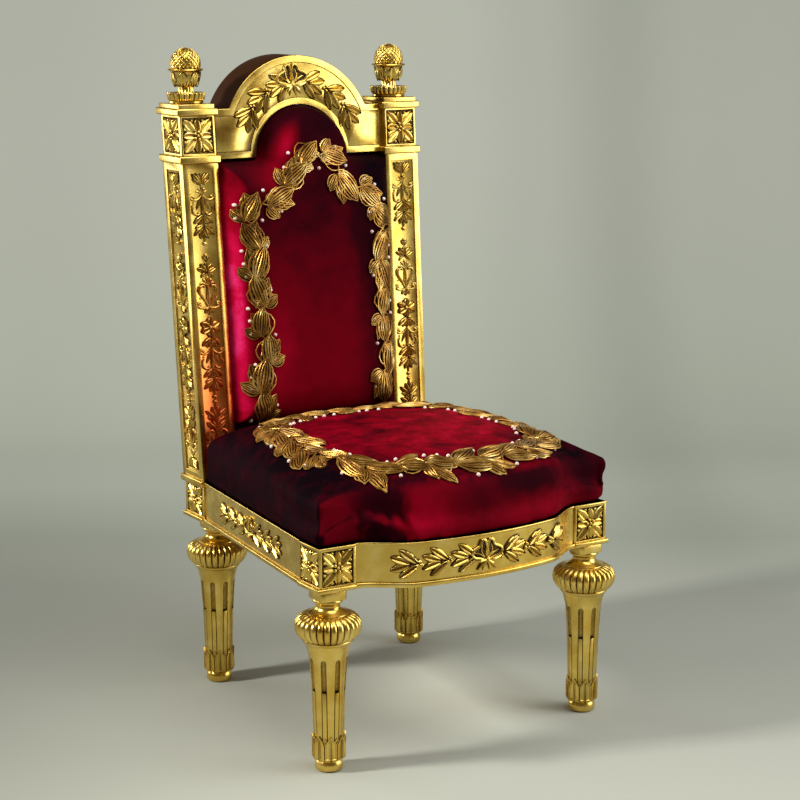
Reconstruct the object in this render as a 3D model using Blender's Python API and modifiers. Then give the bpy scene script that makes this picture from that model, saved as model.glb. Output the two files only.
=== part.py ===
"""A carved and gilded throne with a raked back, an arched crest and velvet upholstery.

Frame: +X to the right as seen from the front, +Y towards the back, +Z up, metres. The
pieces are built with y = 0 at the front faces of the corner blocks and the floor at
z = 0. At the end the whole throne is slid so that the middle of its box stands on the
origin.
"""

import math

import bmesh
import bpy
from mathutils import Matrix, Vector

# Driving dimensions, in metres
SEAT_WIDTH = 0.600          # over the front corner blocks
BLOCK = 0.070               # front corner block, square in plan
RAIL_BASE = 0.3200          # underside of the lower moulding
MOULDING_TOP = 0.3285
MOULDING_OUT = 0.005
LIP_BASE = 0.3940
RAIL_TOP = 0.3980
LIP_OUT = 0.0015
RAIL_DEPTH = 0.030          # timber behind the rail faces
RAIL_SET_BACK = 0.0025      # rail faces behind the block faces
BOW = 0.0627                # how far the front rail swells forward
BOW_SHOULDER = 0.140        # where its round front turns into the ogee returns
BOW_SHOULDER_OUT = 0.048
FIT = 0.0003                # gap left between pieces that touch
LAP = 0.002                 # how far the parts of one stick run into each other

BACK_HALF = 0.2511          # half width over the posts at their foot
BACK_FRONT = 0.5147         # front plane of the posts at their foot
POST_WIDTH = 0.0735
POST_DEPTH = 0.083
REAR_BLOCK_DEPTH = 0.077
POST_BASE = 0.3870          # the lean starts here
FOOT_COLLAR_TOP = 0.4000
HEAD_COLLAR_BASE = 0.9900
HEAD_COLLAR_TOP = 1.0040
CAP_BASE = 1.0776
CAP_STEP = 1.0903
CAP_TOP = 1.0982
COLLAR_OUT = 0.005
HEAD_INSET = 0.0018         # the head block stands a little inside the post
RAKE = 0.0806               # backward lean, metres per metre of height
SPLAY = 0.01027             # outward lean of each post

FRONT_LEG = (0.2710, 0.0240)
REAR_LEG = (0.2172, 0.5310)
SIDE_GARLAND = 0.2925       # middle of the side rail's garland
ABACUS = 0.051
ABACUS_BASE = 0.3040
ABACUS_CLIP = 0.006

CREST_FACE = 0.014          # crest field behind the front plane of the posts
CREST_RAISE = 0.002         # how far its border bands stand up
CREST_REAR = 0.096
CREST_BASE = 0.9945
CREST_SHOULDER = 1.0870
CREST_BAND = 0.012
ARCH_CENTRE = 1.0203
ARCH_RADIUS = 0.1624
OPENING_CENTRE = 0.9960
OPENING_RADIUS = 0.0950
ARCH_STEPS = 14
OPENING_STEPS = 10

CUSHION_EDGE = 0.478        # height of the cushion's top at its rim
CUSHION_CROWN = 0.045
CUSHION_REAR = 0.5135       # at the posts; between them it runs on under the pad
CUSHION_GAP = 0.001
CUSHION_MIDDLE = 0.2368     # the ring of its rim shrinks towards this depth
PAD_BASE = 0.4970
PAD_BULGE = 0.040           # pad face ahead of the posts
PANEL_FRONT = 0.055
PANEL_REAR = 0.067
BOARD = 0.018               # thickness of the seat board

TILE = 0.058                # sunk square of a rosette
TILE_SUNK = 0.003
TILE_RELIEF = 0.0060
PANEL_SUNK = 0.003

CARVED_ANGLE = math.radians(12.0)   # edges sharper than this stay crisp
SOFT_ANGLE = math.radians(50.0)
GOLD = (0.58, 0.36, 0.065)
VELVET = (0.22, 0.002, 0.020)
LINING = (0.10, 0.012, 0.018)


# Scene, collections and materials


def clear_scene():
    for obj in list(bpy.data.objects):
        bpy.data.objects.remove(obj)
    for collection in list(bpy.data.collections):
        bpy.data.collections.remove(collection)


def new_collection(name):
    collection = bpy.data.collections.new(name)
    bpy.context.scene.collection.children.link(collection)
    return collection


clear_scene()
THRONE = new_collection("throne")
CUTTERS = new_collection("cutters")


def finish_material(name, colour, metallic, roughness):
    material = bpy.data.materials.new(name)
    material.use_nodes = True
    shader = material.node_tree.nodes["Principled BSDF"]
    shader.inputs["Base Color"].default_value = (*colour, 1.0)
    shader.inputs["Metallic"].default_value = metallic
    shader.inputs["Roughness"].default_value = roughness
    return material


# Making, joining and cutting meshes


def add_object(name, bm, home=CUTTERS):
    """A new object from a bmesh, with its faces turned outwards."""
    bmesh.ops.recalc_face_normals(bm, faces=bm.faces)
    mesh = bpy.data.meshes.new(name)
    bm.to_mesh(mesh)
    bm.free()
    obj = bpy.data.objects.new(name, mesh)
    home.objects.link(obj)
    if home is CUTTERS:
        obj.hide_render = True
        obj.display_type = "WIRE"
    return obj


def settle(obj):
    """Puts what the modifiers make into the object's own mesh."""
    graph = bpy.context.evaluated_depsgraph_get()
    settled = bpy.data.meshes.new_from_object(obj.evaluated_get(graph))
    old = obj.data
    obj.modifiers.clear()
    obj.data = settled
    bpy.data.meshes.remove(old)


def combine(obj, tools, operation):
    """Joins or cuts with all the tools at once, then takes the tools away."""
    group = bpy.data.collections.new("tools")
    for tool in tools:
        group.objects.link(tool)
    boolean = obj.modifiers.new("combine", "BOOLEAN")
    boolean.operation = operation
    boolean.operand_type = "COLLECTION"
    boolean.collection = group
    bpy.context.view_layer.update()
    settle(obj)
    for tool in tools:
        bpy.data.objects.remove(tool)
    bpy.data.collections.remove(group)
    tidy(obj)


def tidy(obj):
    """Merges doubles and the needless edges that a Boolean leaves on flat faces."""
    bm = bmesh.new()
    bm.from_mesh(obj.data)
    bmesh.ops.remove_doubles(bm, verts=bm.verts, dist=0.00001)
    bmesh.ops.dissolve_limit(
        bm, angle_limit=math.radians(0.2), verts=bm.verts, edges=bm.edges
    )
    bmesh.ops.triangulate(bm, faces=bm.faces)
    bm.to_mesh(obj.data)
    bm.free()


def box(low, high):
    bm = bmesh.new()
    bmesh.ops.create_cube(bm, size=1.0)
    size = [h - l for l, h in zip(low, high)]
    middle = [(h + l) / 2 for l, h in zip(low, high)]
    bmesh.ops.scale(bm, vec=size, verts=bm.verts)
    bmesh.ops.translate(bm, vec=middle, verts=bm.verts)
    return add_object("box", bm)


def prism(outline, low, high, across="z"):
    """A flat outline of (a, b) points drawn out from low to high along one axis."""
    place = {
        "z": lambda a, b, c: (a, b, c),
        "y": lambda a, b, c: (a, c, b),
    }[across]
    bm = bmesh.new()
    face = bm.faces.new([bm.verts.new(place(a, b, low)) for a, b in outline])
    drawn = bmesh.ops.extrude_face_region(bm, geom=[face])
    moved = [v for v in drawn["geom"] if isinstance(v, bmesh.types.BMVert)]
    bmesh.ops.translate(bm, vec=place(0.0, 0.0, high - low), verts=moved)
    return add_object("prism", bm)


def turned(profile, steps):
    """A profile of (radius, height) points, listed from the top down, spun round Z."""
    mesh = bpy.data.meshes.new("turned")
    points = [(radius, 0.0, height) for radius, height in profile]
    edges = [(index, index + 1) for index in range(len(points) - 1)]
    mesh.from_pydata(points, edges, [])
    obj = bpy.data.objects.new("turned", mesh)
    CUTTERS.objects.link(obj)
    obj.hide_render = True
    obj.display_type = "WIRE"
    screw = obj.modifiers.new("spin", "SCREW")
    screw.steps = screw.render_steps = steps
    screw.use_merge_vertices = True
    screw.merge_threshold = 0.00001
    settle(obj)
    return obj


def carve(obj, rule):
    """Moves each point of a turned piece by rule(angle, radius, height)."""
    for vertex in obj.data.vertices:
        x, y, z = vertex.co
        radius = math.hypot(x, y)
        if radius < 0.0001:
            continue
        angle, radius, z = rule(math.atan2(y, x), radius, z)
        vertex.co = (radius * math.cos(angle), radius * math.sin(angle), z)


def slide(obj, offset):
    obj.data.transform(Matrix.Translation(offset))
    return obj


# Carved ornament. Each motif is a small solid that is sunk a little into a face and
# then joined to it. A Face gives the plane: u to the right, v up and w outwards.


class Face:
    def __init__(self, origin, across, upward, sunk=0.0):
        self.u = Vector(across).normalized()
        self.v = Vector(upward).normalized()
        self.w = self.u.cross(self.v).normalized()
        self.origin = Vector(origin) - self.w * sunk

    def matrix(self, u, v, turn=0.0, w=0.0):
        place = self.origin + self.u * u + self.v * v + self.w * w
        basis = Matrix((self.u, self.v, self.w)).transposed().to_4x4()
        return Matrix.Translation(place) @ basis @ Matrix.Rotation(turn, 4, "Z")


BURY = 0.0008               # how far a motif is sunk into its ground
SMALL_RELIEF = 0.0048       # how far the leaves of the posts stand up


def leaf(face, u, v, turn, length, width, height, sides=4):
    """A pointed leaf from its stalk at (u, v), with a raised middle."""
    bm = bmesh.new()
    rim = []
    for step in range(sides):
        angle = 2 * math.pi * step / sides
        along = (1.0 + math.cos(angle)) * length / 2
        rim.append(bm.verts.new((along, math.sin(angle) * width / 2, -BURY)))
    top = bm.verts.new((length * 0.45, 0.0, height))
    for k in range(sides):
        bm.faces.new((rim[k - 1], rim[k], top))
    bm.faces.new(rim[::-1])
    bmesh.ops.transform(bm, matrix=face.matrix(u, v, turn), verts=bm.verts)
    return add_object("leaf", bm)


def berry(face, u, v, radius):
    """A bead: a leaf as wide as it is long, with its middle at (u, v)."""
    return leaf(face, u - radius, v, 0.0, 2 * radius, 2 * radius, radius, 5)


def spray(face, u, v, turn, length, width, height, spread=0.62, sides=4):
    """Three leaves that fan from one stalk."""
    return [
        leaf(face, u, v, turn, length, width, height, sides),
        leaf(face, u, v, turn + spread, length * 0.86, width, height * 0.9, sides),
        leaf(face, u, v, turn - spread, length * 0.86, width, height * 0.9, sides),
    ]


def rosette(face, u, v, reach, corner_reach, height, petals=8):
    """Ridged petals round a hollow eye. With eight, the corner petals reach further."""
    bm = bmesh.new()
    rim, eye = [], []
    for step in range(2 * petals):
        angle = step * math.pi / petals
        full = corner_reach if step % 4 == 2 and petals == 8 else reach
        radius = reach * 0.52 if step % 2 else full
        rim.append(bm.verts.new((radius * math.cos(angle), radius * math.sin(angle), -BURY)))
        if step % 2 == 0:
            radius = reach * 0.28
            place = (radius * math.cos(angle), radius * math.sin(angle), height * 0.85)
            eye.append(bm.verts.new(place))
    top = bm.verts.new((0.0, 0.0, height * 0.5))
    for k in range(petals):
        tip, notch, before = rim[2 * k], rim[2 * k + 1], rim[2 * k - 1]
        following = eye[(k + 1) % petals]
        bm.faces.new((tip, notch, eye[k]))
        bm.faces.new((before, tip, eye[k]))
        bm.faces.new((notch, following, eye[k]))
        bm.faces.new((eye[k], following, top))
    bm.faces.new(rim[::-1])
    bmesh.ops.transform(bm, matrix=face.matrix(u, v), verts=bm.verts)
    return [add_object("rosette", bm)]


def knot(face, u, v, size, height):
    """A ribbon bow: two loops above, two tails below and a round tie."""
    pieces = [berry(face, u, v, size * 0.16)]
    for turn, length, width in ((0.50, 1.0, 0.52), (1.57, 0.9, 0.50), (-0.75, 0.9, 0.24)):
        for side in (turn, math.pi - turn):
            pieces.append(leaf(face, u, v, side, size * length, size * width, height))
    return pieces[:4] + pieces[5:]


# Rosette tiles: sunk squares with a rosette that fills each one


def tile_cutter(face, width, tall):
    bm = bmesh.new()
    bmesh.ops.create_cube(bm, size=1.0)
    bmesh.ops.scale(bm, vec=(width, tall, 2 * TILE_SUNK), verts=bm.verts)
    bmesh.ops.transform(bm, matrix=face.matrix(0.0, 0.0), verts=bm.verts)
    return add_object("tile", bm)


def add_tiles(obj, faces, width=TILE, tall=TILE):
    combine(obj, [tile_cutter(face, width, tall) for face in faces], "DIFFERENCE")
    carving = []
    for face in faces:
        ground = Face(face.origin, face.u, face.v, TILE_SUNK)
        carving += rosette(ground, 0.0, 0.0, width * 0.47, width * 0.62, TILE_RELIEF)
    combine(obj, carving, "UNION")


# Legs

LOBES = 18
LOBE_DEPTH = 0.0030
BULB_EDGE = 0.040           # the lobes are cut outside this radius
FLUTES = 8
FLUTE_HALF = math.radians(8.5)
FLUTE_DEPTH = 0.0045
FLUTE_TOP = 0.2000
REED_TOP = 0.1475           # the flutes are filled by a reed below this
REED_DEPTH = 0.0012
LEAF_HOLLOW = 0.0010
LEAF_RIM = 0.060            # rings above this height are the leaves' rim
LEAF_RISE = 0.013           # how far the collar's leaf tips stand above the dips


def leg_foot():
    return turned(
        [(0.0, 0.030), (0.0205, 0.030), (0.0205, 0.0200), (0.0248, 0.0165),
         (0.0248, 0.0040), (0.0220, 0.0), (0.0, 0.0)],
        10,
    )


def leg_leaf_collar():
    """Eight upright leaves: the rim rises to a tip on each and dips between them."""
    collar = turned(
        [(0.0, 0.0660), (0.0285, 0.0660), (0.0292, 0.0430), (0.0262, 0.0230), (0.0, 0.0230)],
        16,
    )

    def rule(angle, radius, z):
        step = round(angle / (math.pi / FLUTES)) % (2 * FLUTES)
        if step % 2 == 0:
            radius -= LEAF_HOLLOW
            if z > LEAF_RIM:
                z -= LEAF_RISE
        return angle, radius, z

    carve(collar, rule)
    return collar


def leg_shaft():
    """The taper with its eight flutes, open above and filled by a reed below."""
    shaft = turned(
        [(0.0, 0.2380), (0.0430, 0.2380), (0.0430, 0.2295), (0.0330, 0.2060),
         (0.0318, 0.1990), (0.0274, 0.1480), (0.0271, 0.1430), (0.0257, 0.0450),
         (0.0, 0.0450)],
        3 * FLUTES,
    )

    def rule(angle, radius, z):
        step = round(angle / (2 * math.pi / (3 * FLUTES))) % (3 * FLUTES)
        flute, part = divmod(step, 3)
        middle = flute * 2 * math.pi / FLUTES
        angle = middle + (0.0, FLUTE_HALF, 2 * math.pi / FLUTES - FLUTE_HALF)[part]
        if part == 0 and REED_TOP < z < FLUTE_TOP:
            radius -= FLUTE_DEPTH
        elif part == 0 and z < REED_TOP:
            radius -= REED_DEPTH
        return angle, radius, z

    carve(shaft, rule)
    return shaft


def leg_bulb():
    bulb = turned(
        [(0.0, 0.2840), (0.0310, 0.2840), (0.0540, 0.2690), (0.0570, 0.2480),
         (0.0465, 0.2360), (0.0, 0.2360)],
        2 * LOBES,
    )

    def rule(angle, radius, z):
        step = round(angle / (math.pi / LOBES))
        if step % 2 == 0 and radius > BULB_EDGE:
            radius -= LOBE_DEPTH
        return angle, radius, z

    carve(bulb, rule)
    return bulb


def leg_neck():
    return turned(
        [(0.0, 0.3060), (0.0265, 0.3060), (0.0262, 0.2990), (0.0215, 0.2945),
         (0.0280, 0.2830), (0.0, 0.2830)],
        10,
    )


def leg_abacus():
    half = ABACUS / 2
    clip = ABACUS_CLIP
    corners = []
    for sx, sy in ((1, 1), (-1, 1), (-1, -1), (1, -1)):
        pair = [(sx * half, sy * (half - clip)), (sx * (half - clip), sy * half)]
        corners += pair if sx * sy > 0 else pair[::-1]
    return prism(corners, ABACUS_BASE, RAIL_BASE - FIT)


def leg_core(place, block_front):
    """The heart of the stick, where the leg runs on into its block."""
    half = ABACUS / 2 - ABACUS_CLIP
    front = max(place[1] - half, block_front + LAP)
    return box(
        (place[0] - half, front, RAIL_BASE - 2 * LAP),
        (place[0] + half, place[1] + half, RAIL_BASE + 2 * LAP),
    )


def leg(place, block_front):
    """The parts of one turned and carved leg, standing at place."""
    parts = (leg_foot, leg_leaf_collar, leg_shaft, leg_bulb, leg_neck, leg_abacus)
    standing = [slide(part(), (place[0], place[1], 0.0)) for part in parts]
    return [*standing, leg_core(place, block_front)]


# Seat frame


def banded_box(low, high, bands):
    """Boxes that share a plan: each band is (base, top, how far out on all sides)."""
    return [
        box((low[0] - out, low[1] - out, base), (high[0] + out, high[1] + out, top))
        for base, top, out in bands
    ]


RAIL_BANDS = (
    (RAIL_BASE, MOULDING_TOP, MOULDING_OUT),
    (LIP_BASE, RAIL_TOP, LIP_OUT),
)


def keep_inside(obj, low, high):
    """Cuts away what stands past a box, such as a moulding on a face that is butted."""
    kept = box(low, high)
    boolean = obj.modifiers.new("keep", "BOOLEAN")
    boolean.operation = "INTERSECT"
    boolean.object = kept
    settle(obj)
    bpy.data.objects.remove(kept)
    tidy(obj)


def mirrored(obj, name):
    """A left-hand copy of a right-hand piece."""
    mesh = obj.data.copy()
    mesh.transform(Matrix.Scale(-1.0, 4, (1.0, 0.0, 0.0)))
    mesh.flip_normals()
    copy = bpy.data.objects.new(name, mesh)
    THRONE.objects.link(copy)
    return copy


def to_throne(obj, name):
    CUTTERS.objects.unlink(obj)
    THRONE.objects.link(obj)
    obj.name = name
    obj.data.name = name
    obj.hide_render = False
    obj.display_type = "TEXTURED"
    return obj


def front_leg():
    outer = SEAT_WIDTH / 2
    inner = outer - BLOCK
    low, high = (inner, 0.0, RAIL_BASE), (outer, BLOCK, RAIL_TOP)
    body = box(low, high)
    combine(body, banded_box(low, high, RAIL_BANDS), "UNION")
    keep_inside(body, (inner, -1.0, 0.0), (1.0, BLOCK, 1.0))
    middle = (MOULDING_TOP + LIP_BASE) / 2
    add_tiles(
        body,
        (
            Face((inner + BLOCK / 2, 0.0, middle), (1, 0, 0), (0, 0, 1)),
            Face((outer, BLOCK / 2, middle), (0, 1, 0), (0, 0, 1)),
        ),
    )
    combine(body, leg(FRONT_LEG, 0.0), "UNION")
    return body


def bow(x):
    """How far behind y = 0 the front rail's face is at x. Negative is forward."""
    x = abs(x)
    end = SEAT_WIDTH / 2 - BLOCK
    sag = BOW - BOW_SHOULDER_OUT
    radius = (BOW_SHOULDER**2 + sag**2) / (2 * sag)
    if x <= BOW_SHOULDER:
        return -BOW + radius - math.sqrt(radius**2 - x**2)
    run = end - BOW_SHOULDER
    t = (x - BOW_SHOULDER) / run
    start_slope = BOW_SHOULDER / radius * run
    end_slope = 0.10 * run
    return (
        -BOW_SHOULDER_OUT * (1 - 3 * t**2 + 2 * t**3)
        + RAIL_SET_BACK * (3 * t**2 - 2 * t**3)
        + start_slope * (t - 2 * t**2 + t**3)
        + end_slope * (t**3 - t**2)
    )


def bow_points(out=0.0):
    """The curve of the front rail in plan, from left to right."""
    end = SEAT_WIDTH / 2 - BLOCK - FIT
    stations = [-end, -0.212, -0.188, -0.163, -0.132, -0.080, -0.027]
    stations += [-x for x in stations[::-1]]
    return [(x, bow(x) - out) for x in stations]


def bow_face(x, middle):
    """The flat strip of the front rail's face that holds x."""
    points = bow_points()
    left, right = next(pair for pair in zip(points, points[1:]) if pair[0][0] <= x <= pair[1][0])
    share = (x - left[0]) / (right[0] - left[0])
    y = left[1] + (right[1] - left[1]) * share
    along = (right[0] - left[0], right[1] - left[1], 0.0)
    return Face((x, y, middle), along, (0, 0, 1))


def front_rail():
    end = SEAT_WIDTH / 2 - BLOCK - FIT
    rear = RAIL_SET_BACK + RAIL_DEPTH
    back_line = [(end, rear), (0.135, rear - 0.040), (-0.135, rear - 0.040), (-end, rear)]
    body = prism(bow_points() + back_line, RAIL_BASE, RAIL_TOP)
    combine(
        body,
        [prism(bow_points(out) + back_line, base, top) for base, top, out in RAIL_BANDS],
        "UNION",
    )
    middle = (MOULDING_TOP + LIP_BASE) / 2
    carving = knot(bow_face(0.0, middle), 0.0, 0.0, 0.027, 0.0055)
    for side in (-1, 1):
        outward = 0.0 if side > 0 else math.pi
        for x, length in ((0.034, 0.046), (0.083, 0.046), (0.132, 0.052)):
            face = bow_face(side * x, middle)
            carving += spray(face, 0.0, 0.0, outward, length, 0.017, 0.005)
        for x in (0.073, 0.122):
            carving.append(berry(bow_face(side * x, middle), 0.0, -0.016, 0.0045))
    combine(body, carving, "UNION")
    return body


def side_line(y):
    """The outer face of the side rail, at its distance from the middle plane."""
    front = (SEAT_WIDTH / 2 - RAIL_SET_BACK, BLOCK)
    back = (BACK_HALF - RAIL_SET_BACK, BACK_FRONT)
    t = (y - front[1]) / (back[1] - front[1])
    return front[0] + (back[0] - front[0]) * t


def side_outline(out=0.0):
    ends = (BLOCK + FIT, BACK_FRONT - FIT)
    outer = [(side_line(y) + out, y) for y in ends]
    inner = [(side_line(y) - RAIL_DEPTH, y) for y in ends[::-1]]
    return outer + inner


def side_rail():
    body = prism(side_outline(), RAIL_BASE, RAIL_TOP)
    combine(
        body,
        [prism(side_outline(out), base, top) for base, top, out in RAIL_BANDS],
        "UNION",
    )
    middle_y = SIDE_GARLAND
    along = (side_line(middle_y + 0.1) - side_line(middle_y - 0.1), 0.2, 0.0)
    middle = (MOULDING_TOP + LIP_BASE) / 2
    face = Face((side_line(middle_y), middle_y, middle), along, (0, 0, 1))
    carving = rosette(face, 0.0, 0.0, 0.015, 0.017, 0.0045)
    for side in (-1, 1):
        outward = 0.0 if side > 0 else math.pi
        for u in (0.018, 0.062, 0.106):
            carving += spray(face, side * u, 0.0, outward, 0.044, 0.015, 0.0045)
    combine(body, carving, "UNION")
    return body


def rear_rail():
    end = BACK_HALF - POST_WIDTH - FIT
    rear = BACK_FRONT + REAR_BLOCK_DEPTH - RAIL_SET_BACK
    low = (-end, rear - RAIL_DEPTH, RAIL_BASE)
    high = (end, rear, RAIL_TOP)
    body = box(low, high)
    combine(body, banded_box(low, high, RAIL_BANDS), "UNION")
    keep_inside(body, (-end, rear - RAIL_DEPTH, 0.0), (end, 1.0, 1.0))
    return body


# Back posts


def lean(obj, outward=0.0):
    """Leans what is above the foot of the posts backwards, and outwards if asked."""
    for vertex in obj.data.vertices:
        rise = max(0.0, vertex.co.z - POST_BASE)
        vertex.co.y += RAKE * rise
        vertex.co.x += outward * SPLAY * rise


def small_leaf(face, u, v, turn, length, width):
    return leaf(face, u, v, turn, length, width * 1.15, SMALL_RELIEF, 3)


def fork(face, v, turn, length, width, spread):
    """Two small leaves that part from one stalk."""
    return [small_leaf(face, 0.0, v, turn + way * spread, length, width) for way in (-1, 1)]


def drop(face, v):
    """A bead at the end of an ornament."""
    return leaf(face, -0.0045, v, 0.0, 0.009, 0.009, SMALL_RELIEF)


def lyre(face, v, turn):
    """Two long scrolls that lean together."""
    return [
        small_leaf(face, side * 0.0140, v, turn + side * math.sin(turn) * 0.27, 0.046, 0.011)
        for side in (-1, 1)
    ]


def pendant(face, top, downwards):
    """The short ornament: crown, lyre, stem, hanging leaves and a drop."""
    way = -1.0 if downwards else 1.0
    turn = way * math.pi / 2

    def at(distance):
        return top + way * distance

    pieces = fork(face, at(0.028), -turn, 0.028, 0.014, 0.60)
    pieces += lyre(face, at(0.036), turn)
    pieces.append(small_leaf(face, 0.0, at(0.030), turn, 0.068, 0.010))
    pieces += spray(face, 0.0, at(0.090), turn, 0.036, 0.014, SMALL_RELIEF, 0.55, 3)
    pieces.append(drop(face, at(0.131)))
    return pieces


def candelabrum(face, middle):
    """The long ornament, the same above and below its rosette."""
    pieces = rosette(face, 0.0, middle, 0.0195, 0.0195, 0.006, 6)
    for way in (-1.0, 1.0):
        turn = way * math.pi / 2
        pieces.append(small_leaf(face, 0.0, middle + way * 0.018, turn, 0.072, 0.010))
        pieces += lyre(face, middle + way * 0.077, -turn)
        pieces += fork(face, middle + way * 0.090, turn, 0.030, 0.014, 0.62)
        pieces.append(drop(face, middle + way * 0.1265))
    return pieces


def carve_post_face(post, face, width, low, high):
    """Sinks a long panel into one face and fills it with three ornaments."""
    bm = bmesh.new()
    bmesh.ops.create_cube(bm, size=1.0)
    bmesh.ops.scale(bm, vec=(width, high - low, 2 * PANEL_SUNK), verts=bm.verts)
    bmesh.ops.transform(bm, matrix=face.matrix(0.0, (low + high) / 2), verts=bm.verts)
    combine(post, [add_object("panel", bm)], "DIFFERENCE")
    ground = Face(face.origin, face.u, face.v, PANEL_SUNK)
    carving = pendant(ground, 0.9770, True)
    carving += candelabrum(ground, 0.6865)
    carving += pendant(ground, 0.4120, False)
    combine(post, carving, "UNION")


def back_post():
    outer = BACK_HALF
    inner = outer - POST_WIDTH
    front = BACK_FRONT
    block_low = (inner, front, RAIL_BASE)
    block_high = (outer, front + REAR_BLOCK_DEPTH, POST_BASE + LAP)
    block = box(block_low, block_high)
    moulding = banded_box(block_low, block_high, RAIL_BANDS[:1])
    combine(block, moulding, "UNION")
    keep_inside(block, (inner, front, 0.0), (1.0, 1.0, 1.0))
    side_block = Face(
        (outer, front + REAR_BLOCK_DEPTH / 2, (MOULDING_TOP + POST_BASE) / 2),
        (0, 1, 0),
        (0, 0, 1),
    )
    add_tiles(block, (side_block,), TILE, 0.050)

    low, high = (inner, front), (outer, front + POST_DEPTH)
    post = box((*low, POST_BASE), (*high, HEAD_COLLAR_TOP))
    middle_x = (inner + outer) / 2
    middle_y = front + POST_DEPTH / 2
    panel = (0.4110, 0.9820)
    front_face = Face((middle_x, front, 0.0), (1, 0, 0), (0, 0, 1))
    side_face = Face((outer, middle_y, 0.0), (0, 1, 0), (0, 0, 1))
    carve_post_face(post, front_face, 0.046, *panel)
    carve_post_face(post, side_face, 0.050, *panel)

    head_low = (inner + HEAD_INSET, front + HEAD_INSET)
    head_high = (outer - HEAD_INSET, high[1] - HEAD_INSET)
    head = box((*head_low, HEAD_COLLAR_TOP - LAP), (*head_high, CAP_BASE + LAP))
    head_middle = (HEAD_COLLAR_TOP + CAP_BASE) / 2
    add_tiles(
        head,
        (
            Face((middle_x, head_low[1], head_middle), (1, 0, 0), (0, 0, 1)),
            Face((head_high[0], middle_y, head_middle), (0, 1, 0), (0, 0, 1)),
        ),
        0.060,
        0.064,
    )
    foot_collar = box(
        (inner, front, POST_BASE),
        (outer + COLLAR_OUT, high[1] + COLLAR_OUT, FOOT_COLLAR_TOP),
    )
    bands = (
        (HEAD_COLLAR_BASE, HEAD_COLLAR_TOP, COLLAR_OUT),
        (CAP_BASE, CAP_STEP, COLLAR_OUT),
        (CAP_STEP - LAP, CAP_TOP, 0.0),
    )
    collars = banded_box((*low, 0.0), (*high, 0.0), bands)
    combine(post, [head, foot_collar, *collars], "UNION")
    lean(post, 1.0)
    combine(post, [block, *leg(REAR_LEG, front)], "UNION")
    return post


# Crest rail


def arc(centre, radius, start, stop, count):
    """Points on a circle in the X-Z plane, at angles from the horizontal."""
    turn = (stop - start) / count
    return [
        (radius * math.cos(start + turn * k), centre + radius * math.sin(start + turn * k))
        for k in range(count + 1)
    ]


def inner_side(z):
    """Half the width between the posts at a height."""
    return BACK_HALF - POST_WIDTH + SPLAY * (z - POST_BASE)


def crest_end(z):
    """Half the crest's width at a height: it follows the head of the post."""
    head = HEAD_COLLAR_TOP < z < CAP_BASE
    return inner_side(z) - FIT + (HEAD_INSET if head else -COLLAR_OUT)


def crest_ends():
    """The right end from the bottom up, stepped round the collar and the slab."""
    steps = (
        CREST_BASE, HEAD_COLLAR_TOP + FIT, HEAD_COLLAR_TOP + FIT, CAP_BASE - FIT,
        CAP_BASE - FIT, CREST_SHOULDER,
    )
    sides = (CREST_BASE, CREST_BASE, ARCH_CENTRE, ARCH_CENTRE, CREST_SHOULDER, CREST_SHOULDER)
    return [(crest_end(side), z) for side, z in zip(sides, steps)]


def crest_outline(inset=0.0):
    """The crest from the front. A positive inset draws the outline inwards."""
    radius = ARCH_RADIUS - inset
    opening = OPENING_RADIUS + inset
    shoulder = CREST_SHOULDER - inset
    base = CREST_BASE + inset
    start = math.asin((shoulder - ARCH_CENTRE) / radius)
    low = math.asin((base - OPENING_CENTRE) / opening)
    past = inner_side(CREST_SHOULDER) + COLLAR_OUT
    right = [(past, base), (past, shoulder)] if inset else crest_ends()
    over = arc(ARCH_CENTRE, radius, start, math.pi - start, ARCH_STEPS)
    under = arc(OPENING_CENTRE, opening, math.pi - low, low, OPENING_STEPS)
    return right + over + [(-x, z) for x, z in right[::-1]] + under


GARLAND_CENTRE = 1.0080     # the crest's garland follows this circle
GARLAND_RADIUS = 0.1270


def crest_rail():
    front = BACK_FRONT + CREST_FACE - CREST_RAISE
    field_plane = front + CREST_RAISE
    body = prism(crest_outline(), front, BACK_FRONT + CREST_REAR, "y")
    field = prism(crest_outline(CREST_BAND), front - CREST_RAISE, field_plane, "y")
    combine(body, [field], "DIFFERENCE")
    face = Face((0.0, field_plane, 0.0), (1, 0, 0), (0, 0, 1))
    carving = knot(face, 0.0, 1.1380, 0.029, 0.0055)
    for side in (-1, 1):
        for degrees in (14.0, 38.0, 62.0):
            angle = math.pi / 2 - side * math.radians(degrees)
            u = GARLAND_RADIUS * math.cos(angle)
            v = GARLAND_CENTRE + GARLAND_RADIUS * math.sin(angle)
            turn = angle - side * (math.pi / 2 + 0.12)
            carving += spray(face, u, v, turn, 0.046, 0.016, 0.005, 0.60)
            carving.append(berry(face, u * 1.10, v + 0.014, 0.0048))
    combine(body, carving, "UNION")
    lean(body)
    return body


# Finials

FINIAL_X = BACK_HALF - POST_WIDTH / 2 + SPLAY * (CAP_TOP - POST_BASE)
FINIAL_Y = BACK_FRONT + POST_DEPTH / 2 + RAKE * (CAP_TOP - POST_BASE)
FINIAL_BASE = CAP_TOP + FIT
PETALS = 6
FLUTING = 0.0030
NECK_RADIUS = 0.0180
SCALES = 10
SCALE_HEIGHT = 0.013
SCALE_DEPTH = 0.0018


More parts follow.
